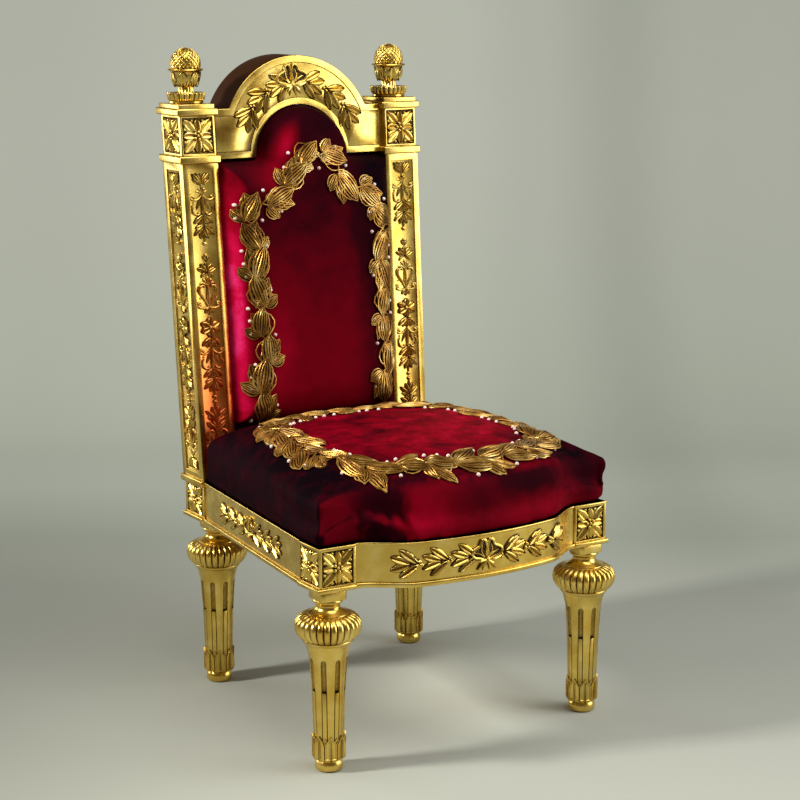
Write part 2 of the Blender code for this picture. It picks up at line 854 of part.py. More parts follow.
def finial():
    """A turned base ring, a fluted cup, a neck and a pine cone in a leaf calyx."""
    base = turned([(0.0, 0.0070), (0.0340, 0.0060), (0.0330, 0.0), (0.0, 0.0)], 12)
    cup = turned(
        [(0.0, 0.0150), (0.0340, 0.0205), (0.0375, 0.0205), (0.0290, 0.0050), (0.0, 0.0050)],
        2 * PETALS,
    )
    neck = turned(
        [(0.0, 0.0420), (0.0170, 0.0380), (0.0140, 0.0330), (0.0155, 0.0130), (0.0, 0.0130)],
        8,
    )
    calyx = turned(
        [(0.0, 0.0690), (0.0345, 0.0680), (0.0310, 0.0560), (0.0180, 0.0370), (0.0, 0.0370)],
        2 * PETALS,
    )
    cone = turned(
        [(0.0, 0.1020), (0.0135, 0.0980), (0.0235, 0.0860), (0.0265, 0.0730),
         (0.0250, 0.0650), (0.0, 0.0650)],
        SCALES,
    )

    def fluted(angle, radius, z):
        step = round(angle / (math.pi / PETALS))
        return angle, radius - (FLUTING if step % 2 and radius > NECK_RADIUS else 0.0), z

    def scaled(angle, radius, z):
        ring = round(z / SCALE_HEIGHT)
        step = round(angle / (2 * math.pi / SCALES))
        return angle, radius - (SCALE_DEPTH if (step + ring) % 2 else 0.0), z

    carve(cup, fluted)
    carve(calyx, fluted)
    carve(cone, scaled)
    combine(base, [cup, neck, calyx, cone], "UNION")
    return slide(base, (FINIAL_X, FINIAL_Y, FINIAL_BASE))


# Upholstery


def cushion_outline():
    """The cushion in plan: over the bowed rail, along the sides and round the posts."""
    edge = SEAT_WIDTH / 2 - 0.002
    notch = inner_side(POST_BASE) - CUSHION_GAP
    rear = BACK_FRONT + PANEL_FRONT - FIT
    front = [(x, y + 0.002) for x, y in bow_points()]
    right = [(edge, 0.003)]
    right += [(side_line(y) + 0.0005, y) for y in (0.15, 0.27, 0.39, CUSHION_REAR)]
    right += [(notch, CUSHION_REAR), (notch, rear), (notch / 2, rear)]
    left = [(-x, y) for x, y in right[::-1]]
    return front + right + [(0.0, rear)] + left


def crown(x, y):
    half = SEAT_WIDTH / 2
    middle = CUSHION_REAR / 2 - 0.01
    reach = CUSHION_REAR / 2 + 0.06
    across = 1.0 - min(1.0, abs(x) / half) ** 4
    along = 1.0 - min(1.0, abs(y - middle) / reach) ** 3
    return CUSHION_EDGE + CUSHION_CROWN * across * along


def seat_cushion():
    """Rings of points: up the walls, over the rounded rim and in to the crown."""
    base = RAIL_TOP + FIT
    middle = (0.0, CUSHION_MIDDLE)
    rings = [
        (1.0, lambda x, y: base),
        (1.0, lambda x, y: CUSHION_EDGE - 0.014),
        (0.975, lambda x, y: CUSHION_EDGE - 0.003),
        (0.88, crown),
        (0.52, crown),
    ]
    bm = bmesh.new()
    drawn = []
    for share, height in rings:
        ring = []
        for x, y in cushion_outline():
            x, y = (m + (p - m) * share for m, p in zip(middle, (x, y)))
            ring.append(bm.verts.new((x, y, height(x, y))))
        drawn.append(ring)
    for lower, upper in zip(drawn, drawn[1:]):
        for k in range(len(lower)):
            bm.faces.new((lower[k - 1], lower[k], upper[k], upper[k - 1]))
    top = bm.verts.new((*middle, crown(*middle)))
    for k in range(len(drawn[-1])):
        bm.faces.new((drawn[-1][k - 1], drawn[-1][k], top))
    bm.faces.new(drawn[0])
    bmesh.ops.triangulate(bm, faces=bm.faces)
    return add_object("cushion", bm)


def pad_outline(gap, sides, shoulder):
    """The filling of the opening: up one side, over the arch and down the other."""
    radius = OPENING_RADIUS - gap
    low = math.asin((shoulder - OPENING_CENTRE) / radius)
    over = arc(OPENING_CENTRE, radius, low, math.pi - low, OPENING_STEPS)
    return sides + over + [(-x, z) for x, z in sides[::-1]]


def back_pad():
    rear = BACK_FRONT + PANEL_FRONT - FIT
    bm = bmesh.new()
    gap = 0.001
    shoulder = HEAD_COLLAR_BASE - gap
    sides = [(inner_side(z) - gap, z) for z in (PAD_BASE, 0.66, 0.83, shoulder)]
    outline = pad_outline(gap, sides, shoulder)
    face = bm.faces.new([bm.verts.new((x, rear, z)) for x, z in outline])
    drawn = bmesh.ops.extrude_face_region(bm, geom=[face])
    moved = [v for v in drawn["geom"] if isinstance(v, bmesh.types.BMVert)]
    front = next(f for f in drawn["geom"] if isinstance(f, bmesh.types.BMFace))
    bmesh.ops.translate(bm, vec=(0, BACK_FRONT - 0.002 - rear, 0), verts=moved)
    for inset, depth in ((0.008, 0.016), (0.014, 0.031), (0.028, PAD_BULGE)):
        bmesh.ops.inset_region(bm, faces=[front], thickness=inset, use_even_offset=True)
        for vertex in front.verts:
            vertex.co.y = BACK_FRONT - depth
    bmesh.ops.triangulate(bm, faces=bm.faces)
    pad = add_object("pad", bm)
    lean(pad)
    return pad


def back_panel():
    """The board that closes the back and carries the pad."""
    head = HEAD_COLLAR_BASE - FIT
    steps = (
        (RAIL_TOP + FIT, 0.0), (head, 0.0), (head, COLLAR_OUT), (CREST_BASE - FIT, COLLAR_OUT),
    )
    sides = [(inner_side(z) - out - FIT, z) for z, out in steps]
    outline = pad_outline(2 * FIT, sides, CREST_BASE - FIT)
    board = prism(outline, BACK_FRONT + PANEL_FRONT, BACK_FRONT + PANEL_REAR, "y")
    lean(board)
    return board


def seat_board():
    """The board let into the seat frame under the cushion."""
    gap = RAIL_DEPTH + RAIL_SET_BACK + FIT
    front = gap - 0.038
    post_front = BACK_FRONT - FIT
    rear = BACK_FRONT + REAR_BLOCK_DEPTH - RAIL_SET_BACK - RAIL_DEPTH - FIT
    inner = SEAT_WIDTH / 2 - BLOCK - FIT
    right = [
        (0.133, front),
        (inner, gap),
        (inner, BLOCK + FIT),
        (side_line(BLOCK) - RAIL_DEPTH - FIT, BLOCK + FIT),
        (side_line(BACK_FRONT) - RAIL_DEPTH - FIT, post_front),
        (inner_side(POST_BASE) - FIT, post_front),
        (inner_side(POST_BASE) - FIT, rear),
    ]
    left = [(-x, y) for x, y in right[::-1]]
    return prism(right + left, RAIL_TOP - BOARD, RAIL_TOP)


# Assembly


def give(obj, material, sharp_angle):
    obj.data.materials.clear()
    obj.data.materials.append(material)
    obj.data.shade_smooth()
    obj.data.set_sharp_from_angle(angle=sharp_angle)


def build():
    gilded = {
        "front_leg_right": front_leg(),
        "back_post_right": back_post(),
        "front_rail": front_rail(),
        "side_rail_right": side_rail(),
        "rear_rail": rear_rail(),
        "crest_rail": crest_rail(),
        "finial_right": finial(),
    }
    soft = {"seat_cushion": seat_cushion(), "back_pad": back_pad()}
    boards = {"back_panel": back_panel(), "seat_board": seat_board()}
    looks = (
        (gilded, "gilded_wood", GOLD, 1.0, 0.30, CARVED_ANGLE),
        (soft, "crimson_velvet", VELVET, 0.0, 0.80, SOFT_ANGLE),
        (boards, "back_lining", LINING, 0.0, 0.85, CARVED_ANGLE),
    )
    for group, label, colour, metallic, roughness, sharp_angle in looks:
        for name, obj in group.items():
            pieces = [to_throne(obj, name)]
            if name.endswith("_right"):
                pieces.append(mirrored(obj, name.replace("_right", "_left")))
            for piece in pieces:
                finish = finish_material(f"{label}_{piece.name}", colour, metallic, roughness)
                give(piece, finish, sharp_angle)


def stand_on_origin():
    """Slides the throne so that the middle of its box is over the origin."""
    depth = [v.co.y for obj in THRONE.objects for v in obj.data.vertices]
    middle = (min(depth) + max(depth)) / 2
    for obj in THRONE.objects:
        obj.data.transform(Matrix.Translation((0.0, -middle, 0.0)))


build()
stand_on_origin()
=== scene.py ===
# %% [markdown]
# # A carved and gilded throne
# The real chair is hardwood, turned and carved by hand, gilded with gold leaf over a
# red-brown clay ground, and covered in crushed silk velvet with embroidered borders.
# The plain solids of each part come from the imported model. This lesson replaces them
# with carved and upholstered pieces in the same places, then gives each its finish.

# %% Load the frame
import math

import bmesh
import bpy
import numpy as np
from mathutils import Matrix, Vector


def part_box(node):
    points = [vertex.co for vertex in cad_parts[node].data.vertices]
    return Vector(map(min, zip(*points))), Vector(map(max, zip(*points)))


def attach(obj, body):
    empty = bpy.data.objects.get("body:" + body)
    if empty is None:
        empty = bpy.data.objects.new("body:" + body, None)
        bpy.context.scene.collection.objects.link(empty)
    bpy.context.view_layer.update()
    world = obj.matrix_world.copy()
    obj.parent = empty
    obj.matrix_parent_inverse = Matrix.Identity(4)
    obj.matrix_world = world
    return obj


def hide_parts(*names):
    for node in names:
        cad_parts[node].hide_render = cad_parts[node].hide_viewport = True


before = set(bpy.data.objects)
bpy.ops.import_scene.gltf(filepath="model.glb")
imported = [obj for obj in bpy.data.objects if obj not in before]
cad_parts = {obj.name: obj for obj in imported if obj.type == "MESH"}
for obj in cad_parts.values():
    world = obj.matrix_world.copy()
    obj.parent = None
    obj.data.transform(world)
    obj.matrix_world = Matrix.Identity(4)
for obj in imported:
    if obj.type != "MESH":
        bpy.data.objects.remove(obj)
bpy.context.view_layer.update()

# %% [markdown]
# ## Driving sizes
# A joiner sets a chair out from a few lines: the faces of the corner blocks, the
# heights of the rails and the lean of the back. The same lines drive every piece here.
# Depths are measured from the faces of the front corner blocks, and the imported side
# rail says where those faces stand in the frame.

# %% Sizes of the seat frame and the back, in metres
SEAT_HALF, BLOCK = 0.300, 0.070
RAIL_BASE, MOULDING_TOP, LIP_BASE, RAIL_TOP = 0.3200, 0.3285, 0.3940, 0.3980
MOULDING_OUT, LIP_OUT, RAIL_DEPTH, RAIL_BACK, FIT = 0.005, 0.0015, 0.030, 0.0025, 0.0003
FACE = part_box("side_rail_right")[0].y - BLOCK - FIT
BACK_HALF, POST_WIDTH, POST_DEPTH, REAR_BLOCK = 0.2511, 0.0735, 0.083, 0.077
BACK_FACE = FACE + 0.5147
POST_BASE, FOOT_TOP, COLLAR_BASE, COLLAR_TOP = 0.3870, 0.4000, 0.9900, 1.0040
CAP_BASE, CAP_STEP, CAP_TOP, COLLAR_OUT, HEAD_INSET = 1.0776, 1.0903, 1.0982, 0.005, 0.0018
RAKE, SPLAY = 0.0806, 0.01027
FRONT_LEG = (0.2710, FACE + 0.0240)
REAR_LEG = (0.2172, FACE + 0.5310)
FIELD_MIDDLE = (MOULDING_TOP + LIP_BASE) / 2
print("block faces at y", round(FACE, 4), "and post faces at y", round(BACK_FACE, 4))

# %% [markdown]
# ## The camera
# A long lens from a few metres away keeps the upright lines nearly parallel, which
# suits furniture. The camera stands to the left, a little above the seat.

# %% Camera
bpy.ops.object.camera_add(
    location=(-1.9323, -3.1111, 1.3201),
    rotation=(math.radians(90 - 11.648), 0.0, math.radians(-32.521)),
)
camera = bpy.context.object
camera.data.lens = 91.44
camera.data.sensor_width = 36.0
bpy.context.scene.camera = camera
print("camera at", [round(value, 3) for value in camera.location])

# %% [markdown]
# ## Colours and nodes
# Colours are written as the hex values a painter would mix on a screen, and one
# function turns them into the linear values that light adds up in. One more function
# adds a shader node with its settings and its links.

# %% Colour and node helpers


def linear(hex_value):
    """A hex colour as linear red, green, blue and 1."""
    shares = [int(hex_value[k : k + 2], 16) / 255 for k in (1, 3, 5)]
    return (*[s / 12.92 if s <= 0.04045 else ((s + 0.055) / 1.055) ** 2.4 for s in shares], 1.0)


def add(tree, kind, inputs=None, **settings):
    """Adds a node, sets what it is told, and links each input that is given a socket."""
    made = tree.nodes.new("ShaderNode" + kind)
    for name, value in settings.items():
        setattr(made, name, value)
    for name, value in (inputs or {}).items():
        if isinstance(value, bpy.types.NodeSocket):
            tree.links.new(value, made.inputs[name])
        else:
            made.inputs[name].default_value = value
    return made


def new_finish(name):
    """An empty material, with its tree, its shader and the object's own coordinates."""
    finish = bpy.data.materials.new(name)
    finish.use_nodes = True
    tree = finish.node_tree
    place = add(tree, "TexCoord").outputs["Object"]
    return finish, tree, tree.nodes["Principled BSDF"], place


def ramp(node, *stops):
    """Sets a colour ramp's stops, each a position and a colour or a grey."""
    elements = node.color_ramp.elements
    while len(elements) < len(stops):
        elements.new(0.5)
    for element, (position, colour) in zip(elements, stops):
        element.position = position
        grey = isinstance(colour, float)
        element.color = (colour, colour, colour, 1.0) if grey else linear(colour)
    return node.outputs["Color"]


def spread(tree, value, low, high, start=0.0, stop=1.0, smooth=False):
    """Maps a value from low and high to start and stop, and holds it at both ends."""
    inputs = {"Value": value, "From Min": low, "From Max": high, "To Min": start, "To Max": stop}
    kind = "SMOOTHSTEP" if smooth else "LINEAR"
    return add(tree, "MapRange", inputs, interpolation_type=kind).outputs[0]


def reckon(tree, operation, *values):
    """One step of arithmetic on two or three values."""
    return add(tree, "Math", dict(enumerate(values)), operation=operation).outputs[0]


def noise(tree, place, scale, detail=2.0, **more):
    """Cloudy noise over a place."""
    inputs = {"Vector": place, "Scale": scale, "Detail": detail, **more}
    return add(tree, "TexNoise", inputs).outputs["Fac"]


def bumped(tree, height, strength, distance, under=None):
    """Raises the surface by a height, over another bump where one is given."""
    inputs = {"Height": height, "Strength": strength, "Distance": distance}
    if under:
        inputs["Normal"] = under
    return add(tree, "Bump", inputs).outputs[0]


def mixed_colour(tree, share, first, second):
    """The first colour turning to the second as the share rises."""
    inputs = {"Factor": share, 6: first, 7: linear(second)}
    return add(tree, "Mix", inputs, data_type="RGBA").outputs[2]


def wire(tree, shader, sockets, **numbers):
    """Links sockets to a shader's inputs and sets its plain numbers."""
    for name, socket in sockets.items():
        tree.links.new(socket, shader.inputs[name])
    for name, value in numbers.items():
        shader.inputs[name.replace("_", " ")].default_value = value


print("gold leaf in linear light:", [round(value, 3) for value in linear("#E2B93E")[:3]])

# %% [markdown]
# ## Studio
# A pale sweep of paper runs from the floor up behind the chair. Burnished gold shows
# whatever stands round it, so the lights are soft panels with dark gaps between them:
# a small key on the left, a large fill on the right, one above and one behind.

# %% Floor and backdrop
BEND_STEPS, BEND_RUN, WALL = 12, 0.157, 0.9
TURN = math.radians(-32.5)
AWAY = Vector((math.sin(-TURN), math.cos(-TURN), 0.0))
bpy.ops.object.select_all(action="DESELECT")
bpy.ops.mesh.primitive_plane_add(size=1.0)
sweep = bpy.context.object
sweep.name = "studio_sweep"
sweep.scale = (12.0, 8.0, 1.0)
sweep.rotation_euler.z = TURN
sweep.location = AWAY * -2.0
bpy.ops.object.transform_apply(location=True, rotation=True, scale=True)
bpy.ops.object.mode_set(mode="EDIT")
bpy.ops.mesh.select_mode(type="EDGE")
bpy.ops.mesh.select_all(action="DESELECT")
mesh = bmesh.from_edit_mesh(sweep.data)
far = max(mesh.edges, key=lambda edge: sum(vertex.co.dot(AWAY) for vertex in edge.verts))
far.select_set(True)
bmesh.update_edit_mesh(sweep.data)
for step in range(BEND_STEPS):
    rise = math.radians((step + 0.5) * 90 / BEND_STEPS)
    move = AWAY * BEND_RUN * math.cos(rise) + Vector((0.0, 0.0, BEND_RUN * math.sin(rise)))
    bpy.ops.mesh.extrude_region_move(TRANSFORM_OT_translate={"value": move})
bpy.ops.mesh.extrude_region_move(TRANSFORM_OT_translate={"value": (0.0, 0.0, WALL)})
bpy.ops.object.mode_set(mode="OBJECT")
bpy.ops.object.shade_smooth()

# %% [markdown]
# The sweep is matt background paper, grey-green. Its tone along its run is painted light
# and shade, darkest on the floor a little before the bend. The floor has painted shade on
# the left and a painted pool of light under the seat, and the wall has painted light
# behind the chair and a painted shadow in a soft upright band on the right.

# %% Paper
# Tones along the run of the paper: painted light and shade, darkest on the floor a little before the
# bend.
PAPER_RUN = (
    (0.10, "#AFB3A9"), (0.24, "#9BA098"), (0.33, "#979C94"), (0.42, "#91998F"),
    (0.52, "#A4ACA3"), (0.72, "#AAB2A8"), (1.0, "#B0B6AE"),
)
# WALL_SHADOW_BAND is a painted shadow on the wall in a soft upright band, darkest on the right.
WALL_SHADOW_BAND = (
    (0.06, 0.24), (0.22, 0.0), (0.56, 0.0), (0.66, 0.32),
    (0.77, 0.86), (0.86, 0.46), (0.98, 0.34),
)
LIGHT_POOL_SPOT, BAND_LEVEL = (0.21, 0.03, 0.0), 0.36
paper, tree, shader, place = new_finish("background_paper")
turned_place = add(tree, "Mapping", {"Vector": place, "Rotation": (0.0, 0.0, -TURN)}).outputs[0]
parts = add(tree, "SeparateXYZ", {0: turned_place})
run = reckon(tree, "ADD", parts.outputs["Y"], parts.outputs["Z"])
tone = ramp(add(tree, "ValToRGB", {"Fac": spread(tree, run, -1.0, 4.0)}), *PAPER_RUN)
# Painted shade on the left of the floor, mostly in front of the bend.
beside = spread(tree, parts.outputs["X"], -0.95, 0.05, 0.42, 0.0, smooth=True)
on_floor = spread(tree, run, 0.7, 2.2, 1.0, 0.15)
painted_left_shade = reckon(tree, "MULTIPLY", beside, on_floor)
# A painted pool of light on the floor under the seat.
under = add(tree, "VectorMath", {0: turned_place, 1: LIGHT_POOL_SPOT}, operation="DISTANCE")
painted_light_pool = spread(tree, under.outputs["Value"], 0.06, 0.32, -0.85, 0.0, smooth=True)
# Painted light on the wall behind the chair and a painted shadow in a band on the right.
across = spread(tree, parts.outputs["X"], -1.3, 1.4)
wall_shadow_level = ramp(add(tree, "ValToRGB", {"Fac": across}), *WALL_SHADOW_BAND)
wall_shadow_level.node.color_ramp.interpolation = "EASE"
high = spread(tree, run, 0.45, 1.2, 0.0, 0.26)
painted_wall_light_and_shade = reckon(tree, "MULTIPLY", reckon(tree, "SUBTRACT", wall_shadow_level, BAND_LEVEL), high)
dimmed = reckon(tree, "ADD", reckon(tree, "ADD", painted_left_shade, painted_light_pool), painted_wall_light_and_shade)
kept = reckon(tree, "SUBTRACT", 1.0, dimmed)
shaded = add(tree, "VectorMath", {0: tone, "Scale": kept}, operation="SCALE")
wire(tree, shader, {"Base Color": shaded.outputs[0]}, Roughness=0.9)
sweep.data.materials.append(paper)
print("paper with", len(PAPER_RUN), "tones")

# %% Lights


def panel_light(name, place, aim, size, watts, colour="#FFFFFF"):
    """A soft rectangular light that faces a point."""
    bpy.ops.object.light_add(type="AREA", location=place)
    lamp = bpy.context.object
    lamp.name = name
    lamp.rotation_euler = (Vector(aim) - Vector(place)).to_track_quat("-Z", "Y").to_euler()
    lamp.data.shape = "RECTANGLE"
    lamp.data.size, lamp.data.size_y = size
    lamp.data.energy = watts
    lamp.data.color = linear(colour)[:3]
    return lamp


panel_light("key_panel", (-3.3, 0.70, 2.45), (0.0, 0.0, 0.4), (0.5, 0.5), 150, "#FFFAF2")
panel_light("front_panel", (2.58, -1.98, 1.50), (0.0, 0.15, 0.8), (2.3, 2.6), 73)
panel_light("top_panel", (0.2, -0.9, 3.2), (0.1, 0.0, 0.4), (2.4, 2.4), 60)
panel_light("wall_panel", (-2.0, 2.9, 1.00), (-0.2, 0.2, 0.8), (1.5, 1.2), 26)
ROOM_COLOUR, ROOM_STRENGTH = "#A08C6C", 0.38
world = bpy.context.scene.world or bpy.data.worlds.new("studio")
bpy.context.scene.world = world
world.use_nodes = True
room = world.node_tree.nodes["Background"].inputs
room["Color"].default_value = linear(ROOM_COLOUR)
room["Strength"].default_value = ROOM_STRENGTH
bpy.context.scene.view_settings.view_transform = "Standard"
print("four soft panels and a dim room")

# %% [markdown]
# ## Burnished gold leaf
# Water gilding is gold leaf a fraction of a micron thick, laid over fine red-brown clay
# and rubbed with an agate. High places are bright and nearly mirror smooth. Dirt and dark
# wax stay in every hollow, so each carved motif has a brown outline. On the posts above
# the seat a painted reflection of the red velvet warms the gold, strongest low on the left.
# Ambient occlusion over a few millimetres finds the hollows, and noise of a few
# centimetres gives the uneven rubbing.

# %% Gold
# Where the posts take a painted reflection of the red velvet: its heights, strength and start above
# the seat, its fade at the outer faces, its colour and its share on the right post.
VELVET_REFLECTION_ZONE = {"low": 0.52, "high": 0.84, "velvet_reflection": 0.85, "foot": (0.455, 0.475)}
VELVET_REFLECTION_SIDE = (BACK_HALF - 0.014, BACK_HALF + 0.004)
VELVET_REFLECTION_COLOUR, RIGHT_REFLECTION_SHARE = "#B8431C", 0.22


def velvet_reflection_share(tree, place):
    """Where the posts take a painted reflection of the red velvet, strongest low on the left."""
    parts = add(tree, "SeparateXYZ", {0: place})
    low = spread(tree, parts.outputs["Z"], VELVET_REFLECTION_ZONE["low"], VELVET_REFLECTION_ZONE["high"],
                 VELVET_REFLECTION_ZONE["velvet_reflection"], 0.0, smooth=True)
    above = spread(tree, parts.outputs["Z"], *VELVET_REFLECTION_ZONE["foot"])
    outer = reckon(tree, "ABSOLUTE", parts.outputs["X"])
    inside = spread(tree, outer, *VELVET_REFLECTION_SIDE, 1.0, 0.0, smooth=True)
    side = spread(tree, parts.outputs["X"], -0.05, 0.05, 1.0, RIGHT_REFLECTION_SHARE)
    reflected = reckon(tree, "MULTIPLY", reckon(tree, "MULTIPLY", low, above), inside)
    return reckon(tree, "MULTIPLY", reflected, side)


def gold_finish(name, leaf_colours, hollow_colour, reach, roughness):
    """Gold leaf: bright on the heights, waxed in the hollows, with a painted reflection of the red
    velvet on the posts.
    """
    finish, tree, shader, place = new_finish(name)
    cloudy = noise(tree, place, 28.0, 4.0)
    fine = noise(tree, place, 420.0, 3.0)
    leaf_tone = ramp(add(tree, "ValToRGB", {"Fac": cloudy}), *zip((0.30, 0.55, 0.72), leaf_colours))
    shade = add(tree, "AmbientOcclusion", {"Distance": reach}, samples=6, only_local=True)
    wax_and_shade = spread(tree, shade.outputs["AO"], 0.25, 0.73, 1.0, 0.0)
    # The painted attribute holds dark wax in carved hollows and painted shade on the crest's outer
    # edge.
    painted = add(tree, "Attribute", attribute_name="wax_and_shade").outputs["Fac"]
    total = reckon(tree, "ADD", reckon(tree, "MULTIPLY_ADD", fine, 0.5, wax_and_shade), painted)
    held = spread(tree, total, 0.34, 0.84)
    mixed = mixed_colour(tree, held, leaf_tone, hollow_colour)
    # The painted reflection of the red velvet on the posts.
    velvet_reflection = mixed_colour(tree, velvet_reflection_share(tree, place), mixed, VELVET_REFLECTION_COLOUR)
    gloss = spread(tree, cloudy, 0.3, 0.75, roughness, roughness + 0.10)
    dull = add(tree, "Mix", {"Factor": held, 2: gloss, 3: 0.62}).outputs[0]
    grit = bumped(tree, fine, 0.20, 0.0002, bumped(tree, cloudy, 0.22, 0.0006))
    metal = spread(tree, held, 0.0, 1.0, 1.0, 0.10)
    sockets = {"Base Color": velvet_reflection, "Metallic": metal, "Roughness": dull, "Normal": grit}
    wire(tree, shader, sockets, Specular_IOR_Level=0.12)
    return finish


LEAF_COLOURS, HOLLOW = ("#D2AC4C", "#E4C364", "#EED27C"), "#2E1604"
gold = gold_finish("burnished_gold_leaf", LEAF_COLOURS, HOLLOW, 0.0036, 0.22)
print("made", gold.name)

# %% [markdown]
# ## Crushed silk velvet
# Velvet is a dense pile of silk that stands on a woven ground. Pile that leans away
# looks nearly black, and pile that leans towards the light flashes pink; here that light
# and shade is painted on each point of the cushion and the pad. Crushing lays it in patches
# of one to four centimetres, so the colour is a ramp over the painted light and stretched
# noise, and the sheen brightens the edges.

# %% Velvet
# PILE_RAMP runs from the pile's darkest painted shade to its pink painted highlight.
PILE_RAMP = (
    (0.0, "#080106"), (0.22, "#30000A"), (0.45, "#700012"), (0.65, "#9C0222"),
    (0.82, "#C80A42"), (1.0, "#F03480"),
)
velvet, tree, shader, place = new_finish("crushed_crimson_velvet")
bent = add(tree, "TexNoise", {"Vector": place, "Scale": 14.0, "Detail": 2.0}).outputs["Color"]
warped = add(tree, "VectorMath", {0: bent, "Scale": 0.05}, operation="SCALE")
moved = add(tree, "VectorMath", {0: place, 1: warped.outputs[0]}, operation="ADD").outputs[0]
patches = noise(tree, moved, 22.0, 5.0, Roughness=0.6)
# The painted light and shade on the pile, written on each point.
painted_pile_light = add(tree, "Attribute", attribute_name="nap_and_painted_light").outputs["Fac"]
amount = add(tree, "Attribute", attribute_name="crush").outputs["Fac"]
centred = reckon(tree, "ADD", patches, -0.5)
lit_and_crushed_pile = reckon(tree, "MULTIPLY_ADD", centred, amount, painted_pile_light)
tone = ramp(add(tree, "ValToRGB", {"Fac": lit_and_crushed_pile}), *PILE_RAMP)
soft = bumped(tree, patches, 0.4, 0.003)
nap_and_painted_light = bumped(tree, noise(tree, place, 900.0), 0.3, 0.0006, soft)
wire(tree, shader, {"Base Color": tone, "Normal": nap_and_painted_light}, Roughness=0.7, Sheen_Weight=0.02,
     Sheen_Roughness=0.3, Sheen_Tint=linear("#FF2A5A"), Specular_IOR_Level=0.02)
print("made", velvet.name)


def smooth_step(low, high, values):
    """Rises from 0 at low to 1 at high, with no corners."""
    t = np.clip((values - low) / (high - low), 0.0, 1.0)
    return t * t * (3 - 2 * t)


def paint_pile_light(piece, rule):
    """Writes painted light and shade on the pile at each point, and how crushed it is there."""
    count = len(piece.data.vertices)
    places, ways = np.empty(count * 3), np.empty(count * 3)
    piece.data.vertices.foreach_get("co", places)
    piece.data.vertices.foreach_get("normal", ways)
    for name, values in zip(("nap_and_painted_light", "crush"), rule(places.reshape(-1, 3), ways.reshape(-1, 3))):
        piece.data.attributes.new(name, "FLOAT", "POINT").data.foreach_set("value", values)


def patch(places, middle, reach):
    """1 at the middle of a patch of painted light and shade, fading to 0 past its reach on each axis.
    """
    away = (places - np.array(middle)) / np.array(reach)
    return np.exp(-(away**2).sum(axis=1))


# %% [markdown]
# ## The quieter finishes
# The lining behind the back is a plain twill, the seat board is bare beech, the borders
# are gold purl, a fine coiled wire over padding, and seed pearls are sewn beside it.

# %% Lining, board, gold thread and pearl
lining, tree, shader, place = new_finish("crimson_twill_lining")
twill = add(tree, "TexWave", {"Vector": place, "Scale": 160.0, "Distortion": 0.4},
            bands_direction="DIAGONAL").outputs["Fac"]
tone = ramp(add(tree, "ValToRGB", {"Fac": twill}), (0.0, "#3B0A12"), (1.0, "#6A1722"))
raised = bumped(tree, twill, 0.4, 0.0005)
wire(tree, shader, {"Base Color": tone, "Normal": raised}, Roughness=0.85)

beech, tree, shader, place = new_finish("bare_beech_board")
along = add(tree, "Mapping", {"Vector": place, "Scale": (1.5, 26.0, 26.0)}).outputs[0]
grain = noise(tree, along, 6.0, 6.0)
tone = ramp(add(tree, "ValToRGB", {"Fac": grain}), (0.35, "#8A6238"), (0.65, "#C09A68"))
wire(tree, shader, {"Base Color": tone}, Roughness=0.7)

# THREAD_GAP_SHADE is the colour of painted shade between the cords.
THREAD_RAMP, THREAD_GAP_SHADE = ((0.35, "#8C622A"), (0.52, "#B88A3C"), (0.68, "#EAC87A")), "#3A1206"
thread, tree, shader, place = new_finish("gold_purl_thread")
tone = ramp(add(tree, "ValToRGB", {"Fac": noise(tree, place, 40.0, 3.0)}), *THREAD_RAMP)
# Ambient occlusion finds the gaps between the cords for painted shade, and the painted attribute
# darkens the ground under them.
shade = add(tree, "AmbientOcclusion", {"Distance": 0.003}, samples=6, only_local=True)
gap_shade = spread(tree, shade.outputs["AO"], 0.48, 0.93, 1.0, 0.0)
painted = add(tree, "Attribute", attribute_name="wax_and_shade").outputs["Fac"]
dark = mixed_colour(tree, reckon(tree, "MAXIMUM", gap_shade, painted), tone, THREAD_GAP_SHADE)
raised = bumped(tree, noise(tree, place, 700.0), 0.5, 0.0004)
wire(tree, shader, {"Base Color": dark, "Normal": raised}, Metallic=0.8, Roughness=0.33)

pearl, tree, shader, place = new_finish("seed_pearl")
cloudy = noise(tree, place, 120.0)
tone = ramp(add(tree, "ValToRGB", {"Fac": cloudy}), (0.4, "#F2D2C4"), (0.6, "#FDEEE4"))
wire(tree, shader, {"Base Color": tone}, Roughness=0.22, Coat_Weight=0.5)
print("made", lining.name, beech.name, thread.name, pearl.name)

# %% [markdown]
# ## The bench tools
# Each tool below is one habit of modelling by hand: clear the selection, put the size
# into the mesh, pick points by where they are, draw a shape out ring by ring, copy what
# repeats and join what belongs to one stick of timber.

# %% Selecting and settling


def clear_selection():
    if bpy.context.mode != "OBJECT":
        bpy.ops.object.mode_set(mode="OBJECT")
    bpy.ops.object.select_all(action="DESELECT")


def settled():
    """Puts the place, turn and size of the object just added into its mesh."""
    bpy.ops.object.transform_apply(location=True, rotation=True, scale=True)
    return bpy.context.object


def choose(piece):
    clear_selection()
    piece.select_set(True)
    bpy.context.view_layer.objects.active = piece


def edit(piece, mode="VERT"):
    choose(piece)
    bpy.ops.object.mode_set(mode="EDIT")
    bpy.ops.mesh.select_mode(type=mode)


def pick_all():
    bpy.ops.mesh.select_all(action="SELECT")


def pulled(*move):
    """Extrudes what is selected by a move."""
    bpy.ops.mesh.extrude_region_move(TRANSFORM_OT_translate={"value": move})


def shifted(*move):
    bpy.ops.transform.translate(value=move)


def resized(share, centre):
    """Scales what is selected about a centre, on each axis."""
    bpy.ops.transform.resize(value=share, center_override=centre)


